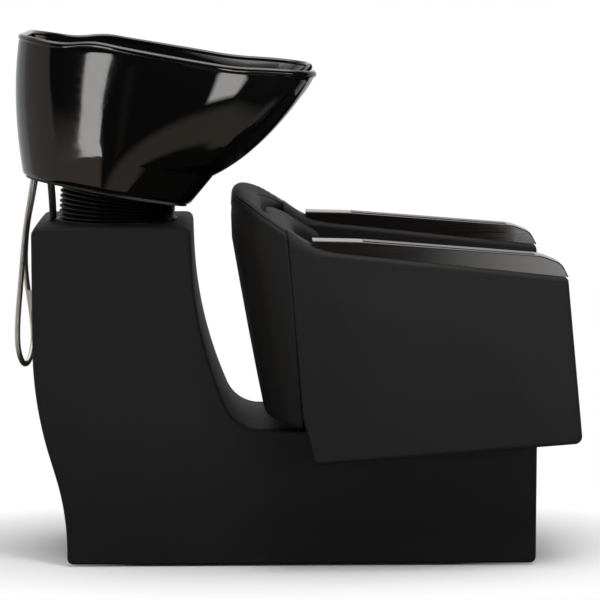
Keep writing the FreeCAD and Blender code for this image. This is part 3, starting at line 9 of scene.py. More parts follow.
import bmesh
import bpy
import numpy as np
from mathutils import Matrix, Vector
from mathutils.bvhtree import BVHTree
from mathutils.geometry import delaunay_2d_cdt


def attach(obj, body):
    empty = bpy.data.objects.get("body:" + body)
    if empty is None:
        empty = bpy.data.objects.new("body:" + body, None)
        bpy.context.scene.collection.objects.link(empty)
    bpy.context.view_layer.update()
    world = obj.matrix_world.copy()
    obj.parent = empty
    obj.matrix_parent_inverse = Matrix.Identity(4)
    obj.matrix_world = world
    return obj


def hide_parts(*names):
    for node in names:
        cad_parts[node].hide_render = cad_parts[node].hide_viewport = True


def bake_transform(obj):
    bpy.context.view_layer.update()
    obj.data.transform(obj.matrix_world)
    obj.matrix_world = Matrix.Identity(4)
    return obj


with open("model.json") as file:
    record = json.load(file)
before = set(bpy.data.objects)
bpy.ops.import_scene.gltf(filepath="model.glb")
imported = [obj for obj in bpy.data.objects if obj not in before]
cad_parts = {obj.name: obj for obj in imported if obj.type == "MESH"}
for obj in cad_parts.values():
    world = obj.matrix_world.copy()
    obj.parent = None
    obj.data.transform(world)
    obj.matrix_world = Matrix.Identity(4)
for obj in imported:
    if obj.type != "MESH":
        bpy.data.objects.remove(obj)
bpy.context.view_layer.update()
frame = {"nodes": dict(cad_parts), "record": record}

logging.basicConfig(level=logging.INFO, format="%(message)s")
log = logging.getLogger("backwash")

Array = np.ndarray
Piece = bpy.types.Object
Material = bpy.types.Material
Tree = bpy.types.NodeTree
Node = bpy.types.Node
Socket = bpy.types.NodeSocket
Corner = tuple[float, float, float]
MM = 0.001


class Side(Enum):
    """Side of the unit; the value is the sign of Y."""

    LEFT = 1
    RIGHT = -1

    @property
    def word(self) -> str:
        """Lower-case name used in the CAD nodes."""
        return self.name.lower()


class Body(Enum):
    """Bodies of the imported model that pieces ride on."""

    BASE = "base"
    BASIN = "basin"
    LOOP = "hose_loop"


# Colour and node helpers


def srgb(code: str) -> tuple[float, float, float, float]:
    """Linear RGBA of an sRGB hex code.

    Args:
        code: six hex digits.
    Returns:
        the linear colour with full alpha.
    """
    parts = [int(code[i:i + 2], 16) / 255 for i in (0, 2, 4)]
    linear = [c / 12.92 if c <= 0.04045 else ((c + 0.055) / 1.055) ** 2.4 for c in parts]
    return (*linear, 1.0)


def add_node(tree: Tree, kind: str, settings: Optional[dict] = None,
             inputs: Optional[dict] = None) -> Node:
    """Adds one shader node.

    Args:
        tree: the material's or world's node tree.
        kind: the node's type name.
        settings: attributes to set on the node.
        inputs: socket name or number to a value, or to an output socket to link.
    Returns:
        the new node.
    """
    node = tree.nodes.new(kind)
    for key, value in (settings or {}).items():
        setattr(node, key, value)
    for key, value in (inputs or {}).items():
        if isinstance(value, Socket):
            tree.links.new(value, node.inputs[key])
        else:
            node.inputs[key].default_value = value
    return node


def fresh_tree(name: str) -> tuple[Material, Tree, Node]:
    """New node material with its Principled shader and output joined."""
    material = bpy.data.materials.new(name)
    material.use_nodes = True
    tree = material.node_tree
    tree.nodes.clear()
    shader = add_node(tree, "ShaderNodeBsdfPrincipled")
    add_node(tree, "ShaderNodeOutputMaterial", None, {"Surface": shader.outputs[0]})
    return material, tree, shader


def show(tree: Tree, shader: Socket) -> None:
    """Leads another shader than the first to the material's output."""
    output = next(n for n in tree.nodes if n.type == "OUTPUT_MATERIAL")
    tree.links.new(shader, output.inputs["Surface"])


def place(tree: Tree) -> Socket:
    """Coordinate socket of a material: the object's own place."""
    return add_node(tree, "ShaderNodeTexCoord").outputs["Object"]


def feed(tree: Tree, shader: Node, colour: Socket, rough: Optional[Socket] = None) -> None:
    """Leads a colour, and a roughness where there is one, into a Principled shader."""
    tree.links.new(colour, shader.inputs["Base Color"])
    if rough is not None:
        tree.links.new(rough, shader.inputs["Roughness"])


def bump(tree: Tree, shader: Node, height: Socket,
         depth_mm: float, strength: float = 1.0) -> None:
    """Adds relief of a depth in millimetres to a shader."""
    node = add_node(tree, "ShaderNodeBump", None,
                    {"Height": height, "Distance": depth_mm * MM, "Strength": strength})
    tree.links.new(node.outputs[0], shader.inputs["Normal"])


def ramp(tree: Tree, factor: Socket, low: float, high: float,
         out_low: float, out_high: float) -> Socket:
    """Maps a factor from one span to another, clamped."""
    node = add_node(tree, "ShaderNodeMapRange", None,
                    {"Value": factor, "From Min": low, "From Max": high, "To Min": out_low,
                     "To Max": out_high})
    return node.outputs[0]


def mix_colours(tree: Tree, factor: Socket, low: str,
                high: str) -> Socket:
    """Blend of two sRGB colours by a factor."""
    node = add_node(tree, "ShaderNodeMix", {"data_type": "RGBA"},
                    {0: factor, 6: srgb(low), 7: srgb(high)})
    return node.outputs[2]


# Finishes


@dataclass(frozen=True)
class SyntheticLeather:
    """PU-coated leathercloth: pebbled grain under a soft satin top coat."""

    name: str = "pu_leathercloth_black"
    # colour of the creases between the pebbles: painted shade of the grain
    crease_shade: str = "131313"
    raised: str = "1b1b1b"
    grain_mm: float = 1.1
    roughness: float = 0.60

    def build(self) -> Material:
        """Voronoi pebbles with wider creases and slow waves of sheen; the creases get a darker
        colour, which is painted shade.
        """
        material, tree, shader = fresh_tree(self.name)
        where = place(tree)
        pebble = add_node(tree, "ShaderNodeTexVoronoi", {"feature": "DISTANCE_TO_EDGE"},
                          {"Vector": where, "Scale": 1000 / self.grain_mm, "Randomness": 0.9})
        crease = add_node(tree, "ShaderNodeTexNoise", None,
                          {"Vector": where, "Scale": 60.0, "Detail": 6.0, "Roughness": 0.6})
        cloud = add_node(tree, "ShaderNodeTexNoise", None,
                         {"Vector": where, "Scale": 5.0, "Detail": 3.0})
        edge = ramp(tree, pebble.outputs[0], 0.0, 0.16, 0.0, 1.0)
        rough = ramp(tree, cloud.outputs[0], 0.3, 0.7, self.roughness - 0.04,
                     self.roughness + 0.05)
        # painted shade: the colour darkens towards the pebble edges, in the creases that the bump
        # sinks
        feed(tree, shader, mix_colours(tree, edge, self.crease_shade, self.raised), rough)
        total = add_node(tree, "ShaderNodeMath", {"operation": "MULTIPLY_ADD"},
                         {0: crease.outputs[0], 1: 0.8, 2: edge})
        bump(tree, shader, total.outputs[0], 0.14, 0.8)
        shader.inputs["Specular IOR Level"].default_value = 0.21
        return material


@dataclass(frozen=True)
class GlazedCeramic:
    """Vitreous china under a deep black glaze: mirror gloss with faint orange peel."""

    name: str = "vitreous_china_black_glaze"
    body: str = "050505"
    haze: str = "080808"
    peel_mm: float = 9.0

    def build(self) -> Material:
        """Near-black body, smooth glaze and a slow ripple."""
        material, tree, shader = fresh_tree(self.name)
        where = place(tree)
        peel = add_node(tree, "ShaderNodeTexNoise", None,
                        {"Vector": where, "Scale": 1000 / self.peel_mm, "Detail": 1.0})
        feed(tree, shader, mix_colours(tree, peel.outputs[0], self.body, self.haze),
             ramp(tree, peel.outputs[0], 0.2, 0.8, 0.025, 0.05))
        bump(tree, shader, peel.outputs[0], 0.010, 0.35)
        shader.inputs["IOR"].default_value = 1.52
        return material


@dataclass(frozen=True)
class DarkLacquer:
    """High-gloss lacquer over dark stained wood on the arm caps."""

    name: str = "lacquered_wenge"
    dark: str = "0c0a0a"
    light: str = "1c1614"

    def build(self) -> Material:
        """Long grain streaks barely seen through a clear coat."""
        material, tree, shader = fresh_tree(self.name)
        where = add_node(tree, "ShaderNodeMapping", None,
                         {"Vector": place(tree), "Scale": (8.0, 260.0, 260.0)})
        streak = add_node(tree, "ShaderNodeTexNoise", None,
                          {"Vector": where.outputs[0], "Scale": 1.0, "Detail": 5.0})
        feed(tree, shader, mix_colours(tree, streak.outputs[0], self.dark, self.light),
             ramp(tree, streak.outputs[0], 0.3, 0.7, 0.12, 0.20))
        bump(tree, shader, streak.outputs[0], 0.02, 0.25)
        shader.inputs["Coat Weight"].default_value = 0.15
        shader.inputs["Coat Roughness"].default_value = 0.06
        return material


@dataclass(frozen=True)
class Metal:
    """Metal with fine lines or a polish, by its grain direction and roughness."""

    name: str
    colour: str
    dark: str
    roughness: float
    stretch: tuple[float, float, float] = (400.0, 400.0, 400.0)
    relief_mm: float = 0.004

    def build(self) -> Material:
        """Fully metallic, with stretched noise as its brushing or haze."""
        material, tree, shader = fresh_tree(self.name)
        where = add_node(tree, "ShaderNodeMapping", None,
                         {"Vector": place(tree), "Scale": self.stretch})
        line = add_node(tree, "ShaderNodeTexNoise", None,
                        {"Vector": where.outputs[0], "Scale": 1.0, "Detail": 4.0})
        feed(tree, shader, mix_colours(tree, line.outputs[0], self.dark, self.colour),
             ramp(tree, line.outputs[0], 0.25, 0.75, self.roughness * 0.75,
                  self.roughness * 1.25))
        bump(tree, shader, line.outputs[0], self.relief_mm, 0.4)
        shader.inputs["Metallic"].default_value = 1.0
        return material


@dataclass(frozen=True)
class Moulded:
    """Moulded rubber or plastic: fine spark-eroded texture, slightly uneven tone."""

    name: str
    colour: str
    second: str
    roughness: float
    grit_mm: float = 0.5
    relief_mm: float = 0.02

    def build(self) -> Material:
        """Noise grit for relief and a slow noise for tone."""
        material, tree, shader = fresh_tree(self.name)
        where = place(tree)
        grit = add_node(tree, "ShaderNodeTexNoise", None,
                        {"Vector": where, "Scale": 1000 / self.grit_mm, "Detail": 2.0})
        tone = add_node(tree, "ShaderNodeTexNoise", None, {"Vector": where, "Scale": 14.0})
        feed(tree, shader, mix_colours(tree, tone.outputs[0], self.colour, self.second),
             ramp(tree, grit.outputs[0], 0.3, 0.7, self.roughness - 0.06,
                  self.roughness + 0.06))
        bump(tree, shader, grit.outputs[0], self.relief_mm, 0.5)
        return material


@dataclass(frozen=True)
class StainedPly:
    """Birch plywood under a black stain: open grain and veneer lines still show faintly."""

    name: str = "black_stained_plywood"
    pale: str = "26221e"
    dark: str = "171412"
    veneer_mm: float = 1.5

    def build(self) -> Material:
        """Stretched grain crossed by veneer bands."""
        material, tree, shader = fresh_tree(self.name)
        where = add_node(tree, "ShaderNodeMapping", None,
                         {"Vector": place(tree), "Scale": (12.0, 90.0, 90.0)})
        grain = add_node(tree, "ShaderNodeTexNoise", None,
                         {"Vector": where.outputs[0], "Scale": 1.0, "Detail": 8.0,
                          "Distortion": 0.6})
        veneer = add_node(tree, "ShaderNodeTexWave", {"bands_direction": "Z"},
                          {"Vector": place(tree), "Scale": 1000 / self.veneer_mm / 20,
                           "Distortion": 0.4})
        factor = add_node(tree, "ShaderNodeMath", {"operation": "MULTIPLY_ADD"},
                          {0: veneer.outputs[1], 1: 0.15, 2: grain.outputs[0]})
        feed(tree, shader, mix_colours(tree, factor.outputs[0], self.dark, self.pale))
        shader.inputs["Roughness"].default_value = 0.62
        bump(tree, shader, grain.outputs[0], 0.08, 0.4)
        return material


@dataclass(frozen=True)
class TagPaper:
    """Uncoated paper with a faint fibre."""

    name: str = "uncoated_paper"
    fibre: str = "d8d7d2"
    sheet: str = "efeeea"

    def build(self) -> Material:
        """Fibre noise over off-white."""
        material, tree, shader = fresh_tree(self.name)
        fibre = add_node(tree, "ShaderNodeTexNoise", None,
                         {"Vector": place(tree), "Scale": 1500.0, "Detail": 5.0})
        feed(tree, shader, mix_colours(tree, fibre.outputs[0], self.fibre, self.sheet))
        shader.inputs["Roughness"].default_value = 0.85
        bump(tree, shader, fibre.outputs[0], 0.03, 0.4)
        return material


FINISHES = {
    "black_leather": SyntheticLeather(),
    "thread": Moulded("bonded_polyester_thread", "070707", "0c0c0c", 0.85, 0.3),
    "black_ceramic": GlazedCeramic(),
    "cap_lacquer": DarkLacquer(),
    "inlay_metal": Metal("brushed_anodised_aluminium", "6d6e6e", "4a4b4b", 0.36,
                         (30.0, 2500.0, 2500.0)),
    "black_rubber": Moulded("epdm_rubber", "0b0b0b", "101010", 0.42, 0.6),
    "hose_rubber": Moulded("braided_nylon_sleeve", "0c0c0c", "141414", 0.38, 0.9, 0.08),
    "black_steel": Moulded("black_powder_coat", "101010", "171717", 0.5, 0.35, 0.03),
    "zinc_steel": Metal("zinc_plated_steel", "b9bcc0", "8f9296", 0.28),
    "chrome": Metal("chromed_brass", "d6d8da", "c4c6c8", 0.06, relief_mm=0.001),
    "hose_steel": Metal("interlocked_stainless_strip", "dddbd7", "b4b1ac", 0.34),
    "nut_brass": Metal("turned_brass", "c3a257", "9d7f3d", 0.25),
    "washer_plastic": Moulded("moulded_nylon", "141414", "1b1b1b", 0.5),
    "waste_plastic": Moulded("grey_polypropylene", "8b8d90", "7c7e81", 0.42),
    "plywood": StainedPly(),
    "tag_paper": TagPaper()}
Finishes = dict[str, Material]


# Outlines and meshes worked out as arrays


def inset_corners(corners: Sequence[Corner], depth: float) -> list[Corner]:
    """Moves every side of an anticlockwise outline inwards and keeps its arcs concentric.

    Each corner moves by (n1 + n2) * depth / (1 + n1.n2), with n1, n2 the inward side normals.
    """
    moved = []
    for index, (u, v, radius) in enumerate(corners):
        before, after = corners[index - 1], corners[(index + 1) % len(corners)]
        a = np.array([u - before[0], v - before[1]])
        b = np.array([after[0] - u, after[1] - v])
        a, b = a / np.linalg.norm(a), b / np.linalg.norm(b)
        n1, n2 = np.array([-a[1], a[0]]), np.array([-b[1], b[0]])
        step = (n1 + n2) * depth / (1 + n1 @ n2)
        outward = a[0] * b[1] - a[1] * b[0] > 0
        moved.append((u + step[0], v + step[1],
                      max(radius - depth, 0.0) if outward else radius + depth))
    return moved


def arc(before: Corner, corner: Corner, after: Corner, steps: Optional[int] = None,
        spacing: float = 6.0) -> Array:
    """Points of the tangent arc at a corner, in so many steps or about spacing apart."""
    here = np.array(corner[:2])
    back, ahead = np.array(before[:2]) - here, np.array(after[:2]) - here
    back, ahead = back / np.linalg.norm(back), ahead / np.linalg.norm(ahead)
    half = math.acos(np.clip(back @ ahead, -1, 1)) / 2
    radius, turn = corner[2], math.pi - 2 * half
    reach = radius / math.tan(half)
    centre = here + (back + ahead) / np.linalg.norm(back + ahead) * radius / math.sin(half)
    start, end = here + back * reach - centre, here + ahead * reach - centre
    count = steps + 1 if steps is not None else max(3, int(radius * turn / spacing) + 2)
    t = np.linspace(0, 1, count)[:, None]
    return centre + (start * np.sin((1 - t) * turn) + end * np.sin(t * turn)) / math.sin(turn)


def outline(corners: Sequence[Corner], closed: bool = True, step: float = 6.0) -> Array:
    """Points along straight runs and tangent arcs through (u, v, radius) corners.

    Args:
        corners: the corner points with their radii.
        closed: whether the outline joins its own start.
        step: largest spacing of the points.
    Returns:
        an array of shape (n, 2).
    """
    pieces = []
    count = len(corners)
    for index, corner in enumerate(corners):
        sharp = corner[2] <= 0 or not closed and index in (0, count - 1)
        pieces.append(np.array([corner[:2]]) if sharp else
                      arc(corners[index - 1], corner, corners[(index + 1) % count], None, step))
    return resample(np.concatenate(pieces), step, closed)


def matched_outline(corners: Sequence[Corner], arc_counts: Sequence[int],
                    run_counts: Sequence[int]) -> Array:
    """Points of a rounded outline, with a fixed count on each arc and each straight run.

    Outlines with the same counts then match point by point.

    Args:
        corners: the corner points with their radii, anticlockwise.
        arc_counts: steps on the arc of each corner, nought for a sharp one.
        run_counts: steps on the straight run after each corner.
    Returns:
        an array of shape (n, 2).
    """
    count = len(corners)
    arcs = [arc(corners[k - 1], corners[k], corners[(k + 1) % count], arc_counts[k])
            for k in range(count)]
    parts = []
    for index, bend in enumerate(arcs):
        t = np.linspace(0, 1, run_counts[index] + 1)[1:-1, None]
        after = arcs[(index + 1) % count][0]
        parts += [bend, bend[-1] + (after - bend[-1]) * t]
    return np.concatenate(parts)


def inset_sides(corners: Sequence[Corner], depths: Sequence[float]) -> list[Corner]:
    """Moves each side of an anticlockwise outline inwards by its own depth.

    A corner moves by the vector d with n1.d and n2.d the depths of its two sides. Each arc
    then shrinks to fit half of its shorter side.
    """
    moved = []
    for index, (u, v, radius) in enumerate(corners):
        before, after = corners[index - 1], corners[(index + 1) % len(corners)]
        a = np.array([u - before[0], v - before[1]])
        b = np.array([after[0] - u, after[1] - v])
        a, b = a / np.linalg.norm(a), b / np.linalg.norm(b)
        pair = (depths[index - 1], depths[index])
        step = np.linalg.solve([[-a[1], a[0]], [-b[1], b[0]]], pair)
        smaller = radius - min(pair) if a[0] * b[1] - a[1] * b[0] > 0 else radius + max(pair)
        moved.append((u + step[0], v + step[1], max(smaller, 0.1) if radius else 0.0))
    fitted = []
    for index, (u, v, radius) in enumerate(moved):
        back = np.array(moved[index - 1][:2]) - (u, v)
        ahead = np.array(moved[(index + 1) % len(moved)][:2]) - (u, v)
        room = 0.48 * min(np.linalg.norm(back), np.linalg.norm(ahead))
        half = math.acos(back @ ahead / np.linalg.norm(back) / np.linalg.norm(ahead)) / 2
        fitted.append((u, v, min(radius, room * math.tan(half))))
    return fitted


def side_depths(depths: Sequence[float], arc_counts: Sequence[int],
                run_counts: Sequence[int]) -> Array:
    """Depth at each point of a matched outline, mixed evenly over the arcs."""
    parts = []
    for index, depth in enumerate(depths):
        parts += [np.linspace(depths[index - 1], depth, arc_counts[index] + 1),
                  np.full(run_counts[index] - 1, depth)]
    return np.concatenate(parts)


def runs(points: Array) -> Array:
    """Length run along a polyline up to each of its points."""
    return np.concatenate([[0], np.cumsum(np.linalg.norm(np.diff(points, axis=0), axis=1))])


def refit(points: Array, count: int) -> Array:
    """The same open polyline with a given number of evenly spaced points."""
    run = runs(points)
    where = np.linspace(0, run[-1], count)
    return np.stack([np.interp(where, run, column) for column in points.T], 1)


def resample(points: Array, step: float, closed: bool) -> Array:
    """Evenly spaced points along a polyline, about step apart."""
    if closed:
        points = np.concatenate([points, points[:1]])
    line = refit(points, max(4, int(round(runs(points)[-1] / step))) + 1)
    return line[:-1] if closed else line


def left_normals(points: Array, closed: bool = True) -> Array:
    """Unit normals to the left of a polyline's direction, by central differences."""
    if closed:
        run = np.roll(points, -1, 0) - np.roll(points, 1, 0)
    else:
        run = np.gradient(points, axis=0)
    run /= np.linalg.norm(run, axis=1)[:, None]
    return np.stack([-run[:, 1], run[:, 0]], 1)


def make_piece(name: str, points: Array, faces: Sequence[Sequence[int]],
               material: Material, body: Optional[Body] = None,
               smooth_angle: float = 50.0) -> Piece:
    """Mesh object from points in millimetres.

    Args:
        name: the piece's name.
        points: vertices, shape (n, 3), in millimetres.
        faces: vertex numbers of each face.
        material: its finish.
        body: the body it rides on, or None to leave it unattached.
        smooth_angle: edges sharper than this, in degrees, stay sharp.
    Returns:
        the new object at the origin.
    """
    mesh = bpy.data.meshes.new(name)
    mesh.from_pydata(np.asarray(points) * MM, [], [tuple(int(i) for i in f) for f in faces])
    mesh.validate()
    mesh.materials.append(material)
    mesh.shade_smooth()
    mesh.set_sharp_from_angle(angle=math.radians(smooth_angle))
    piece = bpy.data.objects.new(name, mesh)
    bpy.context.scene.collection.objects.link(piece)
    outward(piece)
    if body is not None:
        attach(piece, body.value)
    log.info("%s: %d faces", name, len(mesh.polygons))
    return piece


def outward(piece: Piece) -> None:
    """Turns a closed mesh whose signed volume is negative the right way out."""
    mesh = piece.data
    mesh.calc_loop_triangles()
    count = len(mesh.loop_triangles)
    corners = np.empty(count * 3, np.int32)
    mesh.loop_triangles.foreach_get("vertices", corners)
    points = np.empty(len(mesh.vertices) * 3, np.float32)
    mesh.vertices.foreach_get("co", points)
    tri = points.reshape(-1, 3)[corners.reshape(-1, 3)].astype(float)
    if np.einsum("ij,ij->i", tri[:, 0], np.cross(tri[:, 1], tri[:, 2])).sum() < 0:
        mesh.flip_normals()


def grid_faces(rows: int, cols: int, wrap_rows: bool, wrap_cols: bool) -> list[tuple]:
    """Quads of a grid whose point (i, j) has number i * cols + j."""
    i = np.arange(rows if wrap_rows else rows - 1)
    j = np.arange(cols if wrap_cols else cols - 1)
    a, b = np.meshgrid(i, j, indexing="ij")
    a2, b2 = (a + 1) % rows, (b + 1) % cols
    quads = np.stack([a * cols + b, a * cols + b2, a2 * cols + b2, a2 * cols + b], -1)
    return quads.reshape(-1, 4).tolist()


def capped_faces(rows: int, cols: int) -> list:
    """Quads of a grid whose rows are rings, with its first and last ring closed by a face."""
    last = list(range((rows - 1) * cols, rows * cols))
    return grid_faces(rows, cols, False, True) + [list(range(cols))[::-1], last]


def ring_piece(name: str, rings: Array, material: Material,
               body: Body) -> Piece:
    """Closed piece from an array of rings, shape (rows, points, 3), with its ends capped."""
    piece = make_piece(name, rings.reshape(-1, 3), capped_faces(*rings.shape[:2]), material, body)
    mesh_normals(piece)
    return piece


def dress(piece: Piece, nodes: Sequence[str] = ()) -> None:
    """Hides the CAD nodes that a piece replaces."""
    if nodes:
        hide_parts(*nodes)


def hits_on(piece: Piece, starts: Array, ways: Array) -> Array:
    """Points in millimetres where rays first meet a piece's real face; misses are left out."""
    mesh = piece.data
    tree = BVHTree.FromPolygons([v.co for v in mesh.vertices],
                                [tuple(p.vertices) for p in mesh.polygons])
    found = [tree.ray_cast(Vector(start * MM), Vector(way))[0]
             for start, way in zip(starts, ways)]
    return np.array([np.array(hit) / MM for hit in found if hit is not None])


def tube(name: str, path: Array, radius: Array | float, material: Material,
         body: Optional[Body], sides: int = 12) -> Piece:
    """Closed tube about a path in millimetres.

    Ring i is path[i] + radius[i] * (cos a * n + sin a * b), with n carried along without twist.
    """
    path = np.asarray(path, float)
    count = len(path)
    radius = np.broadcast_to(np.asarray(radius, float), (count,))
    tangent = np.gradient(path, axis=0)
    tangent /= np.linalg.norm(tangent, axis=1)[:, None]
    normal = np.empty_like(path)
    start = np.array([0.0, 1.0, 0.0]) if abs(tangent[0][1]) < 0.9 else np.array([1.0, 0, 0])
    for k in range(count):
        start = start - tangent[k] * (start @ tangent[k])
        start /= np.linalg.norm(start)
        normal[k] = start
    side = np.cross(tangent, normal)
    a = np.linspace(0, 2 * np.pi, sides, endpoint=False)
    ring = (np.cos(a)[None, :, None] * normal[:, None] + np.sin(a)[None, :, None] * side[:, None])
    points = (path[:, None] + radius[:, None, None] * ring).reshape(-1, 3)
    return make_piece(name, points, capped_faces(count, sides), material, body)


def smooth_route(name: str, points: Sequence[Sequence[float]], step: float) -> Array:
    """Centreline of a NURBS route through control points in millimetres.

    Args:
        name: name of the helper curve, which is removed again.
        points: control points.
        step: spacing of the returned points.
    Returns:
        points in millimetres, evenly spaced.
    """
    curve = bpy.data.curves.new(name, "CURVE")
    curve.dimensions = "3D"
    spline = curve.splines.new("NURBS")
    spline.points.add(len(points) - 1)
    for target, point in zip(spline.points, points):
        target.co = (*[c * MM for c in point], 1.0)
    spline.order_u = 3
    spline.use_endpoint_u = True
    spline.resolution_u = 24
    holder = bpy.data.objects.new(name, curve)
    mesh = bpy.data.meshes.new_from_object(holder)
    found = np.empty(len(mesh.vertices) * 3, np.float32)
    mesh.vertices.foreach_get("co", found)
    bpy.data.objects.remove(holder)
    bpy.data.curves.remove(curve)
    bpy.data.meshes.remove(mesh)
    line = found.reshape(-1, 3).astype(float) / MM
    return resample(line, step, False)


def stitch_row(name: str, path: Array, outwards: Array, material: Material,
               body: Body, length: float = 4.2, gap: float = 1.8,
               thick: float = 0.55) -> Piece:
    """Row of lock stitches lying on a surface.

    Each stitch is a spindle whose radius is thick * sqrt(1.05 - t^2), with t from -1 to 1 along
    it and the root no more than one.
    """
    line = resample(np.asarray(path, float), length + gap, False)
    normal = refit(np.asarray(outwards, float), len(line))
    normal /= np.linalg.norm(normal, axis=1)[:, None]
    run = np.gradient(line, axis=0)
    run /= np.linalg.norm(run, axis=1)[:, None]
    across = np.cross(run, normal)
    t = np.array([-1.0, -0.6, 0.0, 0.6, 1.0])
    width = thick * np.sqrt(np.clip(1.05 - t ** 2, 0.02, 1))
    a = np.linspace(0, 2 * np.pi, 6, endpoint=False)
    points = (line[:, None, None] + run[:, None, None] * (t * length / 2)[None, :, None, None]
              + width[None, :, None, None] * (np.cos(a)[None, None, :, None] * across[:, None, None]
                                              + np.sin(a)[None, None, :, None]
                                              * normal[:, None, None]))
    single, size = capped_faces(len(t), len(a)), len(t) * len(a)
    faces = [[i + k * size for i in f] for k in range(len(line)) for f in single]
    return make_piece(name, points.reshape(-1, 3), faces, material, body, 60)


Plane = Callable[[Array, Array, Array], Array]
PANEL_STEP = 14.0
SLACK_LENGTHS = (41.0, 57.0, 23.0)


def side_plane(base: float, sign: int) -> Plane:
    """Places (u, v, height) as X, base + height outwards in Y, and Z."""
    return lambda u, v, h: np.stack([u, sign * (base + h), v], 1)


def padded_panel(name: str, ring: Array, thickness: float, edge: Array | float, crown: float,
                 place_at: Plane, material: Material, body: Body,
                 ripple: float = 0.0, seed: float = 0.0, inner: Optional[Array] = None,
                 span: float = 70.0) -> Piece:
    """Upholstered panel: rounded rim and softly crowned face over a flat back.

    The face height is thickness + crown * s(d / span), with d the distance to the rim and
    s(t) = t * t * (3 - 2 * t); the rim is a quarter ellipse of height edge.

    Args:
        name: the piece's name.
        ring: its outline, anticlockwise.
        thickness: height of the face's edge over the back.
        edge: height of the rounded rim, one value or one per point.
        crown: how far the middle of the face stands out.
        place_at: puts (u, v, height) into space.
        material: its finish.
        body: the body it rides on.
        ripple: height of the slack waves of the cover.
        seed: phase of the waves.
        inner: outline of the face where the rim ends, or None for the ring moved in by edge.
        span: width over which the crown rises.
    Returns:
        the new object.
    """
    count = len(ring)
    edge = np.broadcast_to(np.asarray(edge, float), (count,))
    if inner is None:
        inner = ring + left_normals(ring) * edge[:, None]
    quarter = np.linspace(0, np.pi / 2, 8)
    rings = [ring + (inner - ring) * (1 - math.cos(q)) for q in quarter]
    heights = [thickness - edge * (1 - math.sin(q)) for q in quarter]
    low = ring.min(0)
    high = ring.max(0)
    gu, gv = np.meshgrid(np.arange(low[0] + PANEL_STEP / 2, high[0], PANEL_STEP),
                         np.arange(low[1] + PANEL_STEP / 2, high[1], PANEL_STEP), indexing="ij")
    filling = np.stack([gu.ravel(), gv.ravel()], 1)
    last = rings[-1]
    filling = filling[rim_distance(filling, last) > PANEL_STEP * 0.55]
    flat = [Vector(p) for p in np.concatenate([last, filling])]
    borders = [(k, (k + 1) % count) for k in range(count)]
    out = delaunay_2d_cdt(flat, borders, [], 1, 1e-5)
    found = np.array([tuple(p) for p in out[0]])
    depth = np.clip(rim_distance(found, last, signed=False) / span, 0, 1)
    lift = crown * depth * depth * (3 - 2 * depth)
    u, v = found.T
    long_u, long_v, short = SLACK_LENGTHS
    lift += ripple * depth * (np.sin(u / long_u + seed) * np.sin(v / long_v + 2 * seed)
                              + 0.5 * np.sin((u + v) / short + seed))
    points = [place_at(ring[:, 0], ring[:, 1], np.zeros(count))]
    points += [place_at(r[:, 0], r[:, 1], h) for r, h in zip(rings, heights)]
    faces = grid_faces(len(points), count, False, True)
    start = (len(points) - 1) * count
    top_ids = {}
    extra = []
    for k, origin in enumerate(out[3]):
        if origin and origin[0] < count:
            top_ids[k] = start + origin[0]
        else:
            top_ids[k] = start + count + len(extra)
            extra.append(k)
    points.append(place_at(found[extra, 0], found[extra, 1], thickness + lift[extra]))
    faces += [[top_ids[i] for i in f] for f in out[2]]
    faces.append(list(range(count))[::-1])
    piece = make_piece(name, np.concatenate(points), faces, material, body, 60)
    mesh_normals(piece)
    return piece


def mesh_normals(piece: Piece) -> None:
    """Makes face directions agree over one closed mesh, pointing out."""
    work = bmesh.new()
    work.from_mesh(piece.data)
    bmesh.ops.recalc_face_normals(work, faces=work.faces)
    work.to_mesh(piece.data)
    work.free()
    outward(piece)


def rim_distance(points: Array, ring: Array, signed: bool = True) -> Array:
    """Distance of points to a closed ring, negative outside it.

    The distance to each side is that to its nearest point; inside is an even-odd count.
    """
    a = ring
    b = np.roll(ring, -1, 0)
    side = b - a
    t = np.clip(((points[:, None] - a) * side).sum(2) / (side ** 2).sum(1), 0, 1)
    near = np.linalg.norm(points[:, None] - (a + t[..., None] * side), axis=2).min(1)
    if not signed:
        return near
    y = points[:, 1][:, None]
    crosses = (a[:, 1] > y) != (b[:, 1] > y)
    with np.errstate(divide="ignore", invalid="ignore"):
        x = a[:, 0] + (y - a[:, 1]) / (b[:, 1] - a[:, 1]) * side[:, 0]
    inside = (crosses & (points[:, 0][:, None] < x)).sum(1) % 2 == 1
    return np.where(inside, near, -near)


def cut_upright(piece: Piece, ring: Array, low: float, high: float) -> None:
    """Cuts an upright hole of a plan outline through a piece; all in millimetres."""
    count = len(ring)
    points = np.concatenate([np.column_stack([ring, np.full(count, z)]) for z in (low, high)])
    mesh = bpy.data.meshes.new("cutter")
    mesh.from_pydata(points * MM, [], capped_faces(2, count))
    cutter = bpy.data.objects.new("cutter", mesh)
    bpy.context.scene.collection.objects.link(cutter)
    outward(cutter)
    change = piece.modifiers.new("hole", "BOOLEAN")
    change.operation = "DIFFERENCE"
    change.solver = "EXACT"
    change.object = cutter
    apply_modifiers(piece)
    bpy.data.objects.remove(cutter)


def circle(x: float, y: float, radius: float) -> Array:
    """Plan circle of 64 points."""
    a = np.linspace(0, 2 * np.pi, 64, endpoint=False)
    return np.stack([x + radius * np.cos(a), y + radius * np.sin(a)], 1)


def apply_modifiers(piece: Piece) -> None:
    """Replaces a piece's mesh by its evaluated one and clears its modifiers."""
    graph = bpy.context.evaluated_depsgraph_get()
    graph.update()
    mesh = bpy.data.meshes.new_from_object(piece.evaluated_get(graph))
    piece.modifiers.clear()
    piece.data = mesh


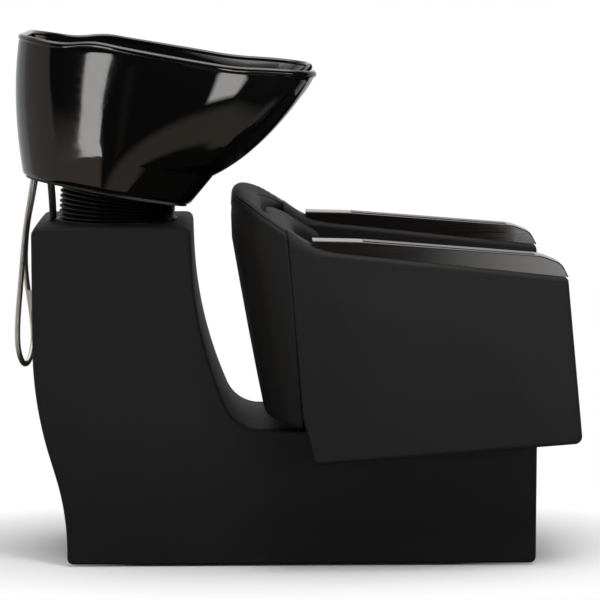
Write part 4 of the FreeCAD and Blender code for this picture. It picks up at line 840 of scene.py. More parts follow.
def inflate(piece: Piece, voxel_mm: float, cap_mm: float, frames: int = 14) -> None:
    """Stuffs a closed piece by cloth pressure, with each point's move capped.

    Args:
        piece: the closed cushion, drawn slightly small.
        voxel_mm: size of the even mesh that the cloth needs.
        cap_mm: the furthest that a point may move.
        frames: simulated frames.
    """
    even = piece.modifiers.new("even", "REMESH")
    even.mode = "VOXEL"
    even.voxel_size = voxel_mm * MM
    apply_modifiers(piece)
    rest = np.empty(len(piece.data.vertices) * 3)
    piece.data.vertices.foreach_get("co", rest)
    cloth = piece.modifiers.new("fill", "CLOTH")
    cloth.settings.use_pressure = True
    cloth.settings.uniform_pressure_force = 4.0
    cloth.settings.effector_weights.gravity = 0.0
    cloth.settings.quality = 4
    scene = bpy.context.scene
    for number in range(1, frames + 1):
        scene.frame_set(number)
    graph = bpy.context.evaluated_depsgraph_get()
    swollen = bpy.data.meshes.new_from_object(piece.evaluated_get(graph))
    moved = np.empty_like(rest)
    swollen.vertices.foreach_get("co", moved)
    move = (moved - rest).reshape(-1, 3)
    length = np.linalg.norm(move, axis=1)[:, None]
    move *= np.minimum(1, cap_mm * MM / np.maximum(length, 1e-9))
    piece.modifiers.clear()
    piece.data.vertices.foreach_set("co", (rest.reshape(-1, 3) + move).ravel())
    bpy.data.meshes.remove(swollen)
    finer = piece.modifiers.new("finer", "SUBSURF")
    finer.levels = finer.render_levels = 1
    apply_modifiers(piece)
    piece.data.shade_smooth()
    scene.frame_set(1)


# Base


@dataclass
class Base:
    """Upholstered base: padded sides, cover strips, piping and seams. Millimetres."""

    finishes: Finishes
    side_corners: tuple[Corner, ...] = (
        (-415.5, 4, 9), (440, 4, 9), (440, 252, 12), (-108, 252, 67), (-182.5, 425, 745),
        (-189.5, 621, 12), (-474.5, 621, 12), (-474.5, 300, 700), (-415.5, 100, 480))
    strip_half: float = 154.5
    side_thickness: float = 8.0
    strip_thickness: float = 6.0
    strip_splits: tuple[tuple[float, float], ...] = (
        (440.0, 12.0), (440.0, 234.0), (440.0, 238.0), (-474.5, 607.0), (-474.5, 603.0),
        (-415.5, 12.0))
    bellows_hole: tuple[float, float, float] = (-327.5, 0.0, 98.0)
    hose_holes: tuple[tuple[float, float, float], ...] = ((-445.0, -28.0, 8.5),
                                                          (-445.0, 28.0, 8.5))
    top_cut: tuple[float, float] = (600.0, 640.0)
    service_plan: tuple[tuple[float, float], ...] = (
        (-520.0, -110.0), (-380.0, -110.0), (-380.0, 110.0), (-520.0, 110.0))
    service_cut: tuple[float, float] = (50.0, 350.0)
    door_gap: float = 1.8
    door_half: float = 108.4

    def ring(self, inset: float = 0.0, step: float = 6.0) -> Array:
        """Side outline, anticlockwise in (X, Z)."""
        return outline(inset_corners(self.side_corners, inset), True, step)

    def build(self) -> None:
        """Makes every piece of the base's upholstery."""
        for side in Side:
            self.side_panel(side)
        self.strips()

    def side_panel(self, side: Side) -> None:
        """Padded side with its piping along the joint with the strips."""
        place_at = side_plane(self.strip_half, side.value)
        piece = padded_panel(f"side_upholstery_{side.word}", self.ring(0.3), self.side_thickness,
                             5.0, 1.6, place_at, self.finishes["black_leather"], Body.BASE, 0.25,
                             1.3 * side.value)
        dress(piece, [f"base_side_cover_{side.word}"])
        ring = self.ring(0.9)
        path = np.column_stack([ring[:, 0], np.full(len(ring), side.value * self.strip_half),
                                ring[:, 1]])
        path = path[path[:, 2] > 6.0]
        start = np.argmax(np.linalg.norm(np.diff(path, axis=0), axis=1)) + 1
        path = np.roll(path, -start, 0)
        dress(tube(f"side_piping_{side.word}", path, 1.6, self.finishes["black_leather"],
                   Body.BASE, 10))

    def strips(self) -> None:
        """Rear, top and front strips that follow the outline between the sides."""
        ring = self.ring(0.0, 5.0)
        splits = [int(np.argmin(np.hypot(*(ring - at).T))) for at in self.strip_splits]
        names = ("front", "top", "rear")
        for name, start, end in zip(names, splits[::2], splits[1::2]):
            ids = np.arange(start, end + 1 if end > start else end + len(ring) + 1) % len(ring)
            piece = self.strip(f"{name}_strip", ring[ids], left_normals(ring)[ids])
            if name == "top":
                for hole in (self.bellows_hole, *self.hose_holes):
                    cut_upright(piece, circle(*hole), *self.top_cut)
            if name == "rear":
                cut_upright(piece, np.array(self.service_plan), *self.service_cut)
            dress(piece, [f"base_{name}_cover"])
        self.service_door(ring)

    def strip(self, name: str, path: Array, inward: Array) -> Piece:
        """Strip whose cross-section is a flat pad with rounded, sunk edges.

        Its face stands out by 1 - |y / half|^6 and drops 2.2 mm to the piping.
        """
        half = self.strip_half - 0.4
        y = np.concatenate([[-half], -half + np.array([0.8, 2.5, 6.0]),
                            np.linspace(-half + 18, half - 18, 15),
                            half - np.array([6.0, 2.5, 0.8]), [half]])
        drop = 2.2 * np.clip(1 - (half - np.abs(y)) / 6.0, 0, 1) ** 2
        swell = 1 - np.abs(y / half) ** 6
        face = path[:, None] - inward[:, None] * (swell - drop)[None, :, None]
        back = path[:, None] + inward[:, None] * self.strip_thickness + 0 * face
        return self.bent_pad(name, face, back, y)

    def bent_pad(self, name: str, face: Array, back: Array, y: Array) -> Piece:
        """Closed pad whose face and back are (X, Z) arrays, one column for each Y."""
        loop = np.concatenate([face, back[:, ::-1]], 1)
        loop_y = np.broadcast_to(np.concatenate([y, y[::-1]]), loop.shape[:2])
        rings = np.stack([loop[..., 0], loop_y, loop[..., 1]], -1)
        return ring_piece(name, rings, self.finishes["black_leather"], Body.BASE)

    def service_door(self, ring: Array) -> None:
        """Leather-covered service panel that follows the sway of the rear face."""
        low, high = self.service_cut
        rear = ring[(ring[:, 0] < self.service_plan[1][0]) & (ring[:, 1] > low + self.door_gap)
                    & (ring[:, 1] < high - self.door_gap)]
        normal = left_normals(rear, False)
        half = self.door_half
        y = np.array([-half, -107.6, -105.5, -101, -60, 0, 60, 101, 105.5, 107.6, half])
        edge = np.clip(1 - (half - np.abs(y)) / 5.0, 0, 1) ** 2
        along = np.abs(np.linspace(-1, 1, len(rear)))
        ends = np.clip((along - 0.97) / 0.03, 0, 1) ** 2
        sink = 1.0 + 2.2 * np.maximum(edge[None], ends[:, None])
        face = rear[:, None] + normal[:, None] * sink[..., None]
        back = rear[:, None] + normal[:, None] * 5.8 + 0 * face
        dress(self.bent_pad("service_door", face, back, y), ["service_panel"])


# Chair


@dataclass
class Chair:
    """Tub chair: rolled back shell, inner back, seat cushion and two padded arms."""

    finishes: Finishes
    half_width: float = 308.0
    bottom: float = 277.0
    rear_x: float = -116.0
    low_rear_x: float = -55.0
    knee: float = 613.0
    shoulder: tuple[float, float] = (30.0, 600.0)
    top_corner: tuple[float, float] = (-116.0, 696.0)
    seam: tuple[tuple[float, float], tuple[float, float]] = ((-14.0, 600.0), (11.0, 297.0))
    wall: float = 55.0
    rear_flat: float = 165.0
    rear_bend: float = 370.0
    side_run: float = 56.0
    side_bend: float = 78.0
    side_front: float = 200.0
    arm_inner: float = 232.0
    arm_mid: float = 270.0
    seams: tuple[float, float] = (0.73, 2.53)
    seam_depth: float = 2.4
    top_round: tuple[float, float] = (17.0, 16.0)
    mid_height: float = 660.0
    roll_corner: tuple[float, float] = (-78.0, 262.0)
    pleat_depth: float = 0.9
    pleat_pitch: float = 17.0
    pleat_spread: float = 60.0
    seat_centre: tuple[float, float, float] = (268.0, 0.0, 361.0)
    seat_half: tuple[float, float, float] = (199.0, 228.0, 69.0)
    seat_crown: float = 12.0
    piping_ring: tuple[Corner, ...] = ((68.5, -229.5, 26), (467.5, -229.5, 26),
                                       (467.5, 229.5, 26), (68.5, 229.5, 26))
    piping_levels: tuple[tuple[str, float], ...] = (("top", 424.0), ("low", 300.0))
    arm_counts: tuple[tuple[int, ...], ...] = ((4, 6, 5, 18, 0, 0), (76, 48, 64, 5, 54, 14))
    outer_depths: tuple[float, ...] = (9.0, 9.0, 10.0, 20.0, 3.0, 6.0)
    inner_depths: tuple[float, ...] = (9.0, 9.0, 10.0, 22.0, 2.0, 6.0)
    stitch_offset: float = 5.0
    arm_corners: tuple[Corner, ...] = (
        (33, 214, 5), (506.7, 250.5, 14), (477, 547, 10), (35, 594, 160),
        (-16.6, 631.6, 0), (11, 297, 0))

    def build(self) -> None:
        """Makes the chair's upholstery."""
        self.shell()
        self.inner_back()
        self.seat()
        for side in Side:
            self.arm(side)

    def rear_at(self, z: Array) -> Array:
        """Rear face of the tub at a height, on straight lines."""
        share = np.clip((self.knee - z) / (self.knee - self.bottom), 0, 1.05)
        return self.rear_x + share * (self.low_rear_x - self.rear_x)

    def seam_at(self, z: Array) -> Array:
        """X of the seam between back and arms at a height."""
        (x1, z1), (x2, z2) = self.seam
        return np.where(np.asarray(z) < z2, x2, x1 + (z1 - z) * (x2 - x1) / (z1 - z2))

    def path(self, z: float, inset: float, front: float, count: int) -> Array:
        """Plan path of the tub at a height, cut off where X reaches front, right to left."""
        rear = float(self.rear_at(np.array(z)))
        left = [(self.side_front, self.half_width, 0.0),
                (rear + self.side_run, self.half_width, self.side_bend),
                (rear, self.rear_flat, self.rear_bend)]
        corners = [(x, -y, radius) for x, y, radius in left[::-1]] + left
        moved = inset_corners(corners, inset)
        open_path = [moved[2], moved[1], moved[0], moved[5], moved[4], moved[3]]
        line = outline(open_path, False, 4.0)
        kept = np.flatnonzero(line[:, 0] < front)
        ends = []
        for a, b in ((line[kept[0]], line[kept[0] - 1]), (line[kept[-1]], line[kept[-1] + 1])):
            ends.append(a + (b - a) * (front - a[0]) / (b[0] - a[0]))
        return refit(np.concatenate([ends[:1], line[kept], ends[1:]]), count)

    def top_at(self, x: Array) -> Array:
        """Top line of the back: level at the rear, then sloping to the shoulders."""
        slope = (self.top_corner[1] - self.shoulder[1]) / (self.top_corner[0] - self.shoulder[0])
        line = self.shoulder[1] + slope * (x - self.shoulder[0])
        depth, reach = self.top_round
        return line - depth * np.exp(-np.clip(x - self.rear_x, 0, None) / reach)

    def wall_grid(self, insets: Array, shares: Array, low: float, drop: float,
                  front: Optional[float], count: int) -> Array:
        """Points of a wall whose cross-section is given by insets and height shares.

        Height z = low + share * (top(x) - drop - low), with x the wall's own place, so the top
        edge follows the sloping shoulder line.
        """
        rows = []
        for inset, share in zip(insets, shares):
            z = np.full(count, low + share * (self.mid_height - low))
            for _ in range(3):
                ring = np.empty((count, 2))
                for level in np.unique(np.round(z, 0)):
                    limit = front if front is not None else float(self.seam_at(level))
                    at = self.path(float(level), float(inset), limit, count)
                    chosen = np.round(z, 0) == level
                    ring[chosen] = at[chosen]
                z = low + share * (self.top_at(ring[:, 0]) - drop - low)
            rows.append(np.column_stack([ring, z]))
        return np.stack(rows)

    def shell(self) -> None:
        """Outer back shell with its rolled top and the two sunk seams of the roll.

        A seam sinks the roll by seam_depth * exp(-((turn - seam) / 0.05)^2).
        """
        near = np.array([-0.11, -0.055, 0.0, 0.055, 0.11])
        turn = np.sort(np.concatenate([np.linspace(0, np.pi, 13), *(t + near for t in self.seams)]))
        sunk = sum(self.seam_depth * np.exp(-((turn - t) / 0.05) ** 2) for t in self.seams)
        roll_in = self.wall / 2 * (1 - np.cos(turn)) + sunk * np.cos(turn)
        roll_up = 0.952 + 0.048 * np.sin(turn) ** 0.8 - sunk * np.sin(turn) / 340.0
        low = np.array([0.0, 0.01, 0.03, 0.2, 0.4, 0.6, 0.8, 0.9, 0.93])
        outer = np.array([6.0, 2.0, 0.0, -1.0, -1.6, -1.6, -1.0, 0.2, 1.4])
        inner_low = np.array([0.93, 0.8, 0.5, 0.2, 0.0])
        insets = np.concatenate([outer, roll_in, np.full(5, self.wall)])
        shares = np.concatenate([low, roll_up, inner_low])
        grid = self.wall_grid(insets, shares, self.bottom, 0.0, None, 150)
        top = len(low) + int(np.searchsorted(turn, self.seams[0] + 0.12))
        self.pleat(grid, slice(top, len(low) + int(np.searchsorted(turn, self.seams[1] - 0.12))))
        piece = ring_piece("back_shell_upholstery", self.tuck(grid).swapaxes(0, 1),
                           self.finishes["black_leather"], Body.BASE)
        dress(piece, ["chair_back_shell", "back_inner_cover"])

    def tuck(self, grid: Array) -> Array:
        """Adds two columns beside each end of the wall and sinks the ends into the seam."""
        sides = []
        for end, after in ((0, 1), (-1, -2)):
            a, b = grid[:, end], grid[:, after]
            inner = left_normals(a[:, 1:])
            if inner[4, 0] * a[4, 1] > 0:
                inner = -inner
            shift = np.column_stack([np.zeros(len(a)), inner]) * self.seam_depth
            sides.append([a + shift, a + (b - a) * 0.22 + shift * 0.4,
                          a + (b - a) * 0.5 + shift * 0.06])
        first, last = np.stack(sides[0], 1), np.stack(sides[1][::-1], 1)
        return np.concatenate([first, grid[:, 1:-1], last], 1)

    def pleat(self, grid: Array, rows: slice) -> None:
        """Presses shallow gathers into the roll where it turns its two corners.

        Depth is pleat_depth * sin(2 pi run / pleat_pitch) within a bell about each corner.
        """
        line = grid[rows.start]
        run = runs(line)
        for sign in (-1, 1):
            x, y = self.roll_corner
            corner = run[np.argmin(np.hypot(line[:, 0] - x, line[:, 1] - sign * y))]
            bell = np.exp(-((run - corner) / self.pleat_spread) ** 2)
            wave = np.sin(2 * np.pi * run / self.pleat_pitch)
            grid[rows, :, 2] += self.pleat_depth * bell * wave

    def inner_back(self) -> None:
        """Inner back cushion that wraps between the arms."""
        turn = np.linspace(0, np.pi, 9)
        insets = np.concatenate([[57, 57, 57, 57], 83.5 - 26.5 * np.cos(turn),
                                 [111, 113, 113, 110, 105], [96, 83, 70, 62]])
        shares = np.concatenate([[0.03, 0.3, 0.6, 0.9], 0.93 + 0.055 * np.sin(turn),
                                 [0.8, 0.6, 0.4, 0.2, 0.08], [0.02, 0.0, 0.0, 0.01]])
        grid = self.wall_grid(insets, shares, 293.0, 6.0, 54.0, 120)
        grid[..., 1] = np.clip(grid[..., 1], -229.5, 229.5)
        piece = ring_piece("back_cushion_upholstery", grid.swapaxes(0, 1),
                           self.finishes["black_leather"], Body.BASE)
        inflate(piece, 6.0, 3.0)
        dress(piece, ["back_cushion"])

    def seat(self) -> None:
        """Box seat cushion with piped edges and a crown.

        Its box is x = c + h * |cos v|^0.16 * |cos u|^0.16 with the signs kept, y alike with
        sin u, and z with |sin v|^0.14. The crown falls with the square of x and of y.
        """
        u, v = np.meshgrid(np.linspace(0, 2 * np.pi, 96, endpoint=False),
                           np.linspace(-np.pi / 2, np.pi / 2, 40), indexing="xy")
        power = lambda t, e: np.sign(t) * np.abs(t) ** e
        (cx, _, cz), (hx, hy, hz) = self.seat_centre, self.seat_half
        x = cx + hx * power(np.cos(v), 0.16) * power(np.cos(u), 0.16)
        y = hy * power(np.cos(v), 0.16) * power(np.sin(u), 0.16)
        flat = 1 - np.clip(((x - cx) / hx) ** 2, 0, 1)
        flat = flat * (1 - np.clip((y / hy) ** 2, 0, 1))
        z = cz + hz * power(np.sin(v), 0.14) + np.where(v > 0, self.seat_crown * flat, 0)
        piece = ring_piece("seat_upholstery", np.stack([x, y, z], -1),
                           self.finishes["black_leather"], Body.BASE)
        inflate(piece, 7.0, 4.0)
        dress(piece, ["seat_cushion"])
        ring = outline(self.piping_ring)
        for word, level in self.piping_levels:
            at = np.column_stack([ring, np.full(len(ring), level)])
            centre = at * (0, 0, 1) + (cx, 0, 0)
            line = hits_on(piece, 2 * at - centre, centre - at)
            dress(tube(f"seat_{word}_piping", np.concatenate([line, line[:1]]), 2.0,
                       self.finishes["black_leather"], Body.BASE, 10))

    def arm(self, side: Side) -> None:
        """Outer and inner arm panels with the stitched seam along their rear edge."""
        ring = matched_outline(self.arm_corners, *self.arm_counts)
        inwards = lambda u, v, h: np.stack([u, side.value * (self.arm_mid - h), v], 1)
        makes = {"outer": (self.outer_depths, self.half_width - self.arm_mid, 7.0,
                           side_plane(self.arm_mid, side.value), 0.3, 0.7, 120.0),
                 "inner": (self.inner_depths, self.arm_mid - self.arm_inner - 0.2, 0.0,
                           inwards, 0.2, 2.1, 70.0)}
        for word, (depths, thickness, crown, place_at, ripple, seed, width) in makes.items():
            face = matched_outline(inset_sides(self.arm_corners, depths), *self.arm_counts)
            piece = padded_panel(f"arm_{word}_upholstery_{side.word}", ring, thickness,
                                 side_depths(depths, *self.arm_counts), crown, place_at,
                                 self.finishes["black_leather"], Body.BASE, ripple,
                                 seed * side.value, face, width)
            dress(piece, [f"arm_{word}_cover_{side.word}"])
        self.seam_stitches(side)

    def seam_stitches(self, side: Side) -> None:
        """Topstitching on both sides of the seam between back and arm, on the real faces."""
        sign = float(side.value)
        z = np.linspace(596, 300, 80)
        rows = (("front", self.stitch_offset, f"arm_outer_upholstery_{side.word}"),
                ("rear", -self.stitch_offset, "back_shell_upholstery"))
        for word, shift, owner in rows:
            starts = np.column_stack([self.seam_at(z) + shift, np.full(len(z), sign * 500), z])
            path = hits_on(bpy.data.objects[owner], starts, np.tile([0, -sign, 0], (len(z), 1)))
            out = np.tile([0.0, sign, 0.0], (len(path), 1))
            dress(stitch_row(f"seam_stitches_{word}_{side.word}", path, out,
                             self.finishes["thread"], Body.BASE))


# Basin


@dataclass
class Basin:
    """Glazed basin, its bellows and its hoses, drawn level and tilted about the pivot."""

    finishes: Finishes
    outer: Array = field(init=False)
    inward: Array = field(init=False)
    pivot: tuple[float, float] = (-327.5, 656.0)
    tilt_deg: float = 9.7
    rear: float = -545.0
    front: float = -8.0
    length: float = 537.0
    width: float = 546.0
    low: float = 682.0
    height: float = 268.0
    wall: float = 13.5
    bead: float = 6.0
    overhang: float = 1.4
    belly_at: float = 0.585
    front_width: float = 0.79
    side_rounds: tuple[float, float] = (150.0, 330.0)
    front_rounds: tuple[float, float] = (46.0, 70.0)
    rear_round: float = 110.0
    rear_fade: tuple[float, float] = (-215.0, 150.0)
    rim_run: tuple[float, ...] = (-0.05, 0.165, 0.250, 0.330, 0.720, 0.880, 1.050)
    rim_rise: tuple[float, ...] = (-0.052, -0.056, 0.000, -0.008, -0.010, 0.026, 0.046)
    rim_smooth: float = 24.0
    levels: tuple[tuple[float, ...], ...] = (
        (0.000, 0.077, 0.343, 0.300, 0.200), (0.220, 0.045, 0.283, 0.362, 0.235),
        (0.384, 0.028, 0.192, 0.425, 0.262), (0.571, 0.014, 0.119, 0.468, 0.285),
        (0.757, 0.002, 0.063, 0.502, 0.303), (1.060, 0.000, 0.000, 0.532, 0.322))
    arc_counts: tuple[int, ...] = (20, 26, 20, 20, 26, 20)
    run_counts: tuple[int, ...] = (24, 40, 110, 40, 24, 40)
    crease: float = 741.0
    wall_end: float = 858.0
    shelf: float = 850.0
    floor: float = 770.0
    floor_ring: tuple[Corner, ...] = (
        (-407.0, -108, 60), (-310.0, -108, 300), (-213.0, -85, 60), (-213.0, 85, 60),
        (-310.0, 108, 300), (-407.0, 108, 60))
    ledge_ring: tuple[Corner, ...] = (
        (-700.0, -579.6, 0), (96.0, -579.6, 0), (-441.0, -150.0, 90), (-441.0, 150.0, 90),
        (96.0, 579.6, 0), (-700.0, 579.6, 0))
    notch_depth: float = 52.0
    notch_half: float = 112.0
    notch_start: float = -120.0
    waste_radius: float = 36.0
    waste_bore: float = 20.0
    waste_seat: float = 768.8
    waste_end: float = 756.5
    foot_rows: tuple[float, ...] = (682.0, 684.0, 690.0, 705.0, 722.0, 734.0, 739.0, 740.9)
    under_rows: tuple[tuple[float, float], ...] = (
        (40.0, 756.0), (12.0, 750.0), (10.0, 740.0), (9.0, 700.0), (9.0, 684.0), (8.0, 682.0))
    bellows_ends: tuple[float, float] = (625.0, 673.0)
    bellows_outside: float = 97.6
    bellows_rib: float = 9.6
    bellows_inside: float = 94.6
    ribs: int = 7
    tap_x: float = -483.5
    tap_half: float = 34.0
    tap_heights: tuple[float, float] = (682.0, 642.0)
    cord_mm: float = 10.6
    turn_pitch: float = 3.6
    turn_radii: tuple[float, ...] = (4.75, 5.3, 5.3, 5.0)
    tag_heights: tuple[float, float] = (443.0, 483.0)
    tag_across: tuple[float, float] = (-1.0, 7.0)
    tag_sheet: float = 0.3
    supply_radius: float = 4.8
    supply_x: float = -474.5
    supply_top: tuple[float, float] = (808.0, 768.0)
    supply_routes: tuple[tuple[str, float, tuple[Corner, ...]], ...] = (
        ("hot", -45.0, ((-452.0, -41.0, 745.0), (-448.5, -34.0, 695.0), (-445.0, -28.0, 640.0),
                        (-445.0, -28.0, 560.0))),
        ("cold", -23.0, ((-451.5, -8.0, 745.0), (-448.5, 13.0, 698.0), (-445.0, 28.0, 640.0),
                         (-445.0, 28.0, 560.0))))
    drain_ends: tuple[float, float] = (715.0, 556.0)
    drain_radius: float = 19.2
    drain_rib: float = 0.8
    loop: tuple[tuple[float, float, float], ...] = (
        (-495.0, -43.0, 600.0), (-501.5, -53.0, 520.0), (-509.0, -60.0, 440.0),
        (-509.5, -60.0, 387.0), (-502.0, -24.8, 352.0), (-494.0, 24.8, 352.0),
        (-488.0, 60.0, 387.0), (-491.5, 60.0, 440.0), (-503.5, 53.0, 520.0),
        (-499.0, 43.0, 600.0))

    def tilt(self, points: Array) -> Array:
        """Turns level points about the pivot by the resting tilt."""
        a = math.radians(self.tilt_deg)
        points = np.asarray(points, float)
        x = points[..., 0] - self.pivot[0]
        z = points[..., 2] - self.pivot[1]
        return np.stack([self.pivot[0] + x * math.cos(a) + z * math.sin(a), points[..., 1],
                         self.pivot[1] - x * math.sin(a) + z * math.cos(a)], -1)

    def stations(self, corners: Sequence[Corner]) -> Array:
        """Points of a rounded outline in the basin's fixed counts."""
        return matched_outline(corners, self.arc_counts, self.run_counts)

    def level_corners(self, index: int) -> list[Corner]:
        """Plan corners of the outside at one of the named levels."""
        _, rear, front, side_half, rear_half = self.levels[index]
        rx = self.rear + rear * self.length
        fx = self.front - front * self.length
        sx = rx + self.belly_at * (fx - rx)
        sy, ry = side_half * self.width, rear_half * self.width
        above_foot = index > 1
        side_r, front_r = self.side_rounds[above_foot], self.front_rounds[above_foot]
        rear_r = min(self.rear_round, ry * 0.9)
        fy = sy * self.front_width
        return [(rx, -ry, rear_r), (sx, -sy, side_r), (fx, -fy, front_r), (fx, fy, front_r),
                (sx, sy, side_r), (rx, ry, rear_r)]

    def weights(self, z: Array) -> Array:
        """Share of each level in the section at a height, one row per level.

        The foot is straight between its two levels. The belly is the one polynomial through
        the other levels: the share of level i is the product of (z - z_j) / (z_i - z_j). At
        the rear the cubic that fits all levels best takes their place, so the crease fades out.
        """
        z = np.asarray(z, float)
        lower = self.outer[1, :, 0]
        fade = np.clip((self.rear_fade[0] - lower) / self.rear_fade[1], 0, 1)
        fade = fade * fade * (3 - 2 * fade)
        heights = self.low + self.height * np.array([level[0] for level in self.levels])
        found = np.zeros((len(heights), len(z)))
        rise = (z - heights[0]) / (heights[1] - heights[0])
        in_foot = z < heights[1]
        found[0], found[1] = np.where(in_foot, 1 - rise, 0), np.where(in_foot, rise, 0)
        for i in range(1, len(heights)):
            others = [heights[j] for j in range(1, len(heights)) if j != i]
            share = np.prod([(z - other) / (heights[i] - other) for other in others], axis=0)
            found[i] += np.where(in_foot, 0, share)
        terms = np.vander((heights - self.low) / self.height, 4)
        rear = (np.vander((z - self.low) / self.height, 4) @ np.linalg.pinv(terms)).T
        return found + (rear - found) * fade

    def section(self, z: Array | float, inset: Array | float) -> Array:
        """Plan points of the wall at a height for each column, moved inwards by an inset."""
        z = np.broadcast_to(np.asarray(z, float), (self.outer.shape[1],))
        inset = np.broadcast_to(np.asarray(inset, float), z.shape)[:, None]
        share = self.weights(z)[..., None]
        return (share * (self.outer + inset * self.inward)).sum(0)

    def rim_at(self, x: Array, y: Array) -> Array:
        """Height of the rim: a long wave, cut in front by the ellipse of the neck notch."""
        xs = self.rear + np.array(self.rim_run) * self.length
        zs = self.low + self.height * (1 + np.array(self.rim_rise))
        shifts = np.linspace(-self.rim_smooth, self.rim_smooth, 9)
        line = np.mean([np.interp(x + shift, xs, zs) for shift in shifts], axis=0)
        round_dip = np.sqrt(np.clip(1 - (y / self.notch_half) ** 2, 0, 1))
        dip = self.low + self.height - self.notch_depth * round_dip
        notch = np.where((np.abs(y) < self.notch_half) & (x > self.notch_start), dip, line)
        return np.minimum(line, notch)

    def ledge_share(self, start: Array, end: Array) -> Array:
        """Share of each run from wall to floor that lies on the rear ledge, by halving."""
        ring = outline(self.ledge_ring, True, 4.0)
        low, high = np.zeros(len(start)), np.ones(len(start))
        for _ in range(11):
            middle = (low + high) / 2
            on = rim_distance(start + (end - start) * middle[:, None], ring) > 0
            low, high = np.where(on, middle, low), np.where(on, high, middle)
        return low

    def inner_rows(self, rim: Array) -> list[Array]:
        """Rings of the bowl's inside, from the rim over the ledge to the flat floor.

        Beside the ledge a column follows a quarter ellipse from wall to floor. On the ledge it
        runs level and drops at the ledge's edge. The two are mixed where the ledge runs out.
        """
        rows = []
        for t in np.linspace(0.12, 1, 10):
            z = rim - 13 + (self.wall_end - rim + 13) * t
            rows.append(np.column_stack([self.section(z, self.wall), z]))
        start = self.section(self.wall_end, self.wall)
        end = self.stations(self.floor_ring)
        reach = self.ledge_share(start, end)
        mix = np.clip(reach / 0.12, 0, 1)
        mix = mix * mix * (3 - 2 * mix)
        flat = np.array([0.01, 0.03, 0.07, 0.13, 0.35, 0.6, 0.85, 0.95, 0.985, 1.0])
        flat_z = self.shelf + np.array([5.6, 3.2, 1.3, 0.3, 0, 0, 0, -0.2, -0.9, -3.0])
        drop = np.linspace(0.05, 1, 22) * np.pi / 2
        fall = self.shelf - 3.0 - (self.shelf - 3.0 - self.floor) * np.sin(drop)
        count = len(flat) + len(drop)
        for k in range(count):
            q = (k + 1) / count * np.pi / 2
            plain = 1 - math.cos(q)
            plain_z = self.wall_end - (self.wall_end - self.floor) * math.sin(q)
            if k < len(flat):
                share, level = reach * flat[k], flat_z[k]
            else:
                share = reach + (1 - reach) * (1 - math.cos(drop[k - len(flat)])) ** 1.15
                level = fall[k - len(flat)]
            share = plain + (share - plain) * mix
            z = plain_z + (level - plain_z) * mix
            rows.append(np.column_stack([start + (end - start) * share[:, None], z]))
        return rows

    def bowl(self) -> None:
        """Basin as one closed surface: foot, belly, rolled rim, bowl, ledge, waste hole."""
        self.outer = np.stack([self.stations(self.level_corners(k))
                               for k in range(len(self.levels))])
        moved = np.stack([self.stations(inset_corners(self.level_corners(k), 10.0))
                          for k in range(len(self.levels))])
        self.inward = (moved - self.outer) / 10.0
        columns = self.outer.shape[1]
        level = lambda z: np.full(columns, z)
        rim = level(self.low + self.height)
        for _ in range(5):
            at = self.section(rim, 0.0)
            rim = self.rim_at(at[:, 0], at[:, 1])
        kernel = np.array([1, 2, 3, 2, 1]) / 9.0
        rim = np.convolve(np.concatenate([rim[-2:], rim, rim[:2]]), kernel, "valid")
        rows = []
        for z in self.foot_rows:
            rows.append(np.column_stack([self.section(z, 1.5 if z == self.low else 0.0),
                                         level(z)]))
        for t in np.concatenate([[0.0, 0.008, 0.025], np.linspace(0.05, 1, 34)]):
            z = self.crease + (rim - 14.0 - self.crease) * t
            rows.append(np.column_stack([self.section(z, 0.0), z]))
        middle = self.section(rim, self.bead - self.overhang)
        out = self.section(rim, self.bead - self.overhang - 1.0) - middle
        out /= np.linalg.norm(out, axis=1)[:, None]
        for a in np.radians(np.linspace(-58, 205, 20)):
            rows.append(np.column_stack([middle + out * self.bead * math.cos(a),
                                         rim - self.bead + self.bead * math.sin(a)]))
        rows += self.inner_rows(rim)
        last = rows[-1]
        angle = np.arctan2(last[:, 1], last[:, 0] - self.pivot[0])
        cos, sin = np.cos(angle), np.sin(angle)
        waste = lambda radius, z: np.column_stack([self.pivot[0] + radius * cos, radius * sin,
                                                   level(z)])
        for t in np.linspace(0.1, 1, 10):
            rows.append(last + (waste(self.waste_radius + 0.5, self.floor) - last) * t)
        rows += [waste(self.waste_radius, self.waste_seat),
                 waste(self.waste_bore, self.waste_seat), waste(self.waste_bore, self.waste_end)]
        for inset, z in self.under_rows:
            rows.append(np.column_stack([self.section(min(z, self.foot_rows[-1]), inset),
                                         level(z)]))
        points = self.tilt(np.stack(rows))
        faces = grid_faces(len(rows), columns, True, True)
        piece = make_piece("glazed_basin", points.reshape(-1, 3), faces,
                           self.finishes["black_ceramic"], Body.BASIN, 38)
        dress(piece, ["basin_bowl"])

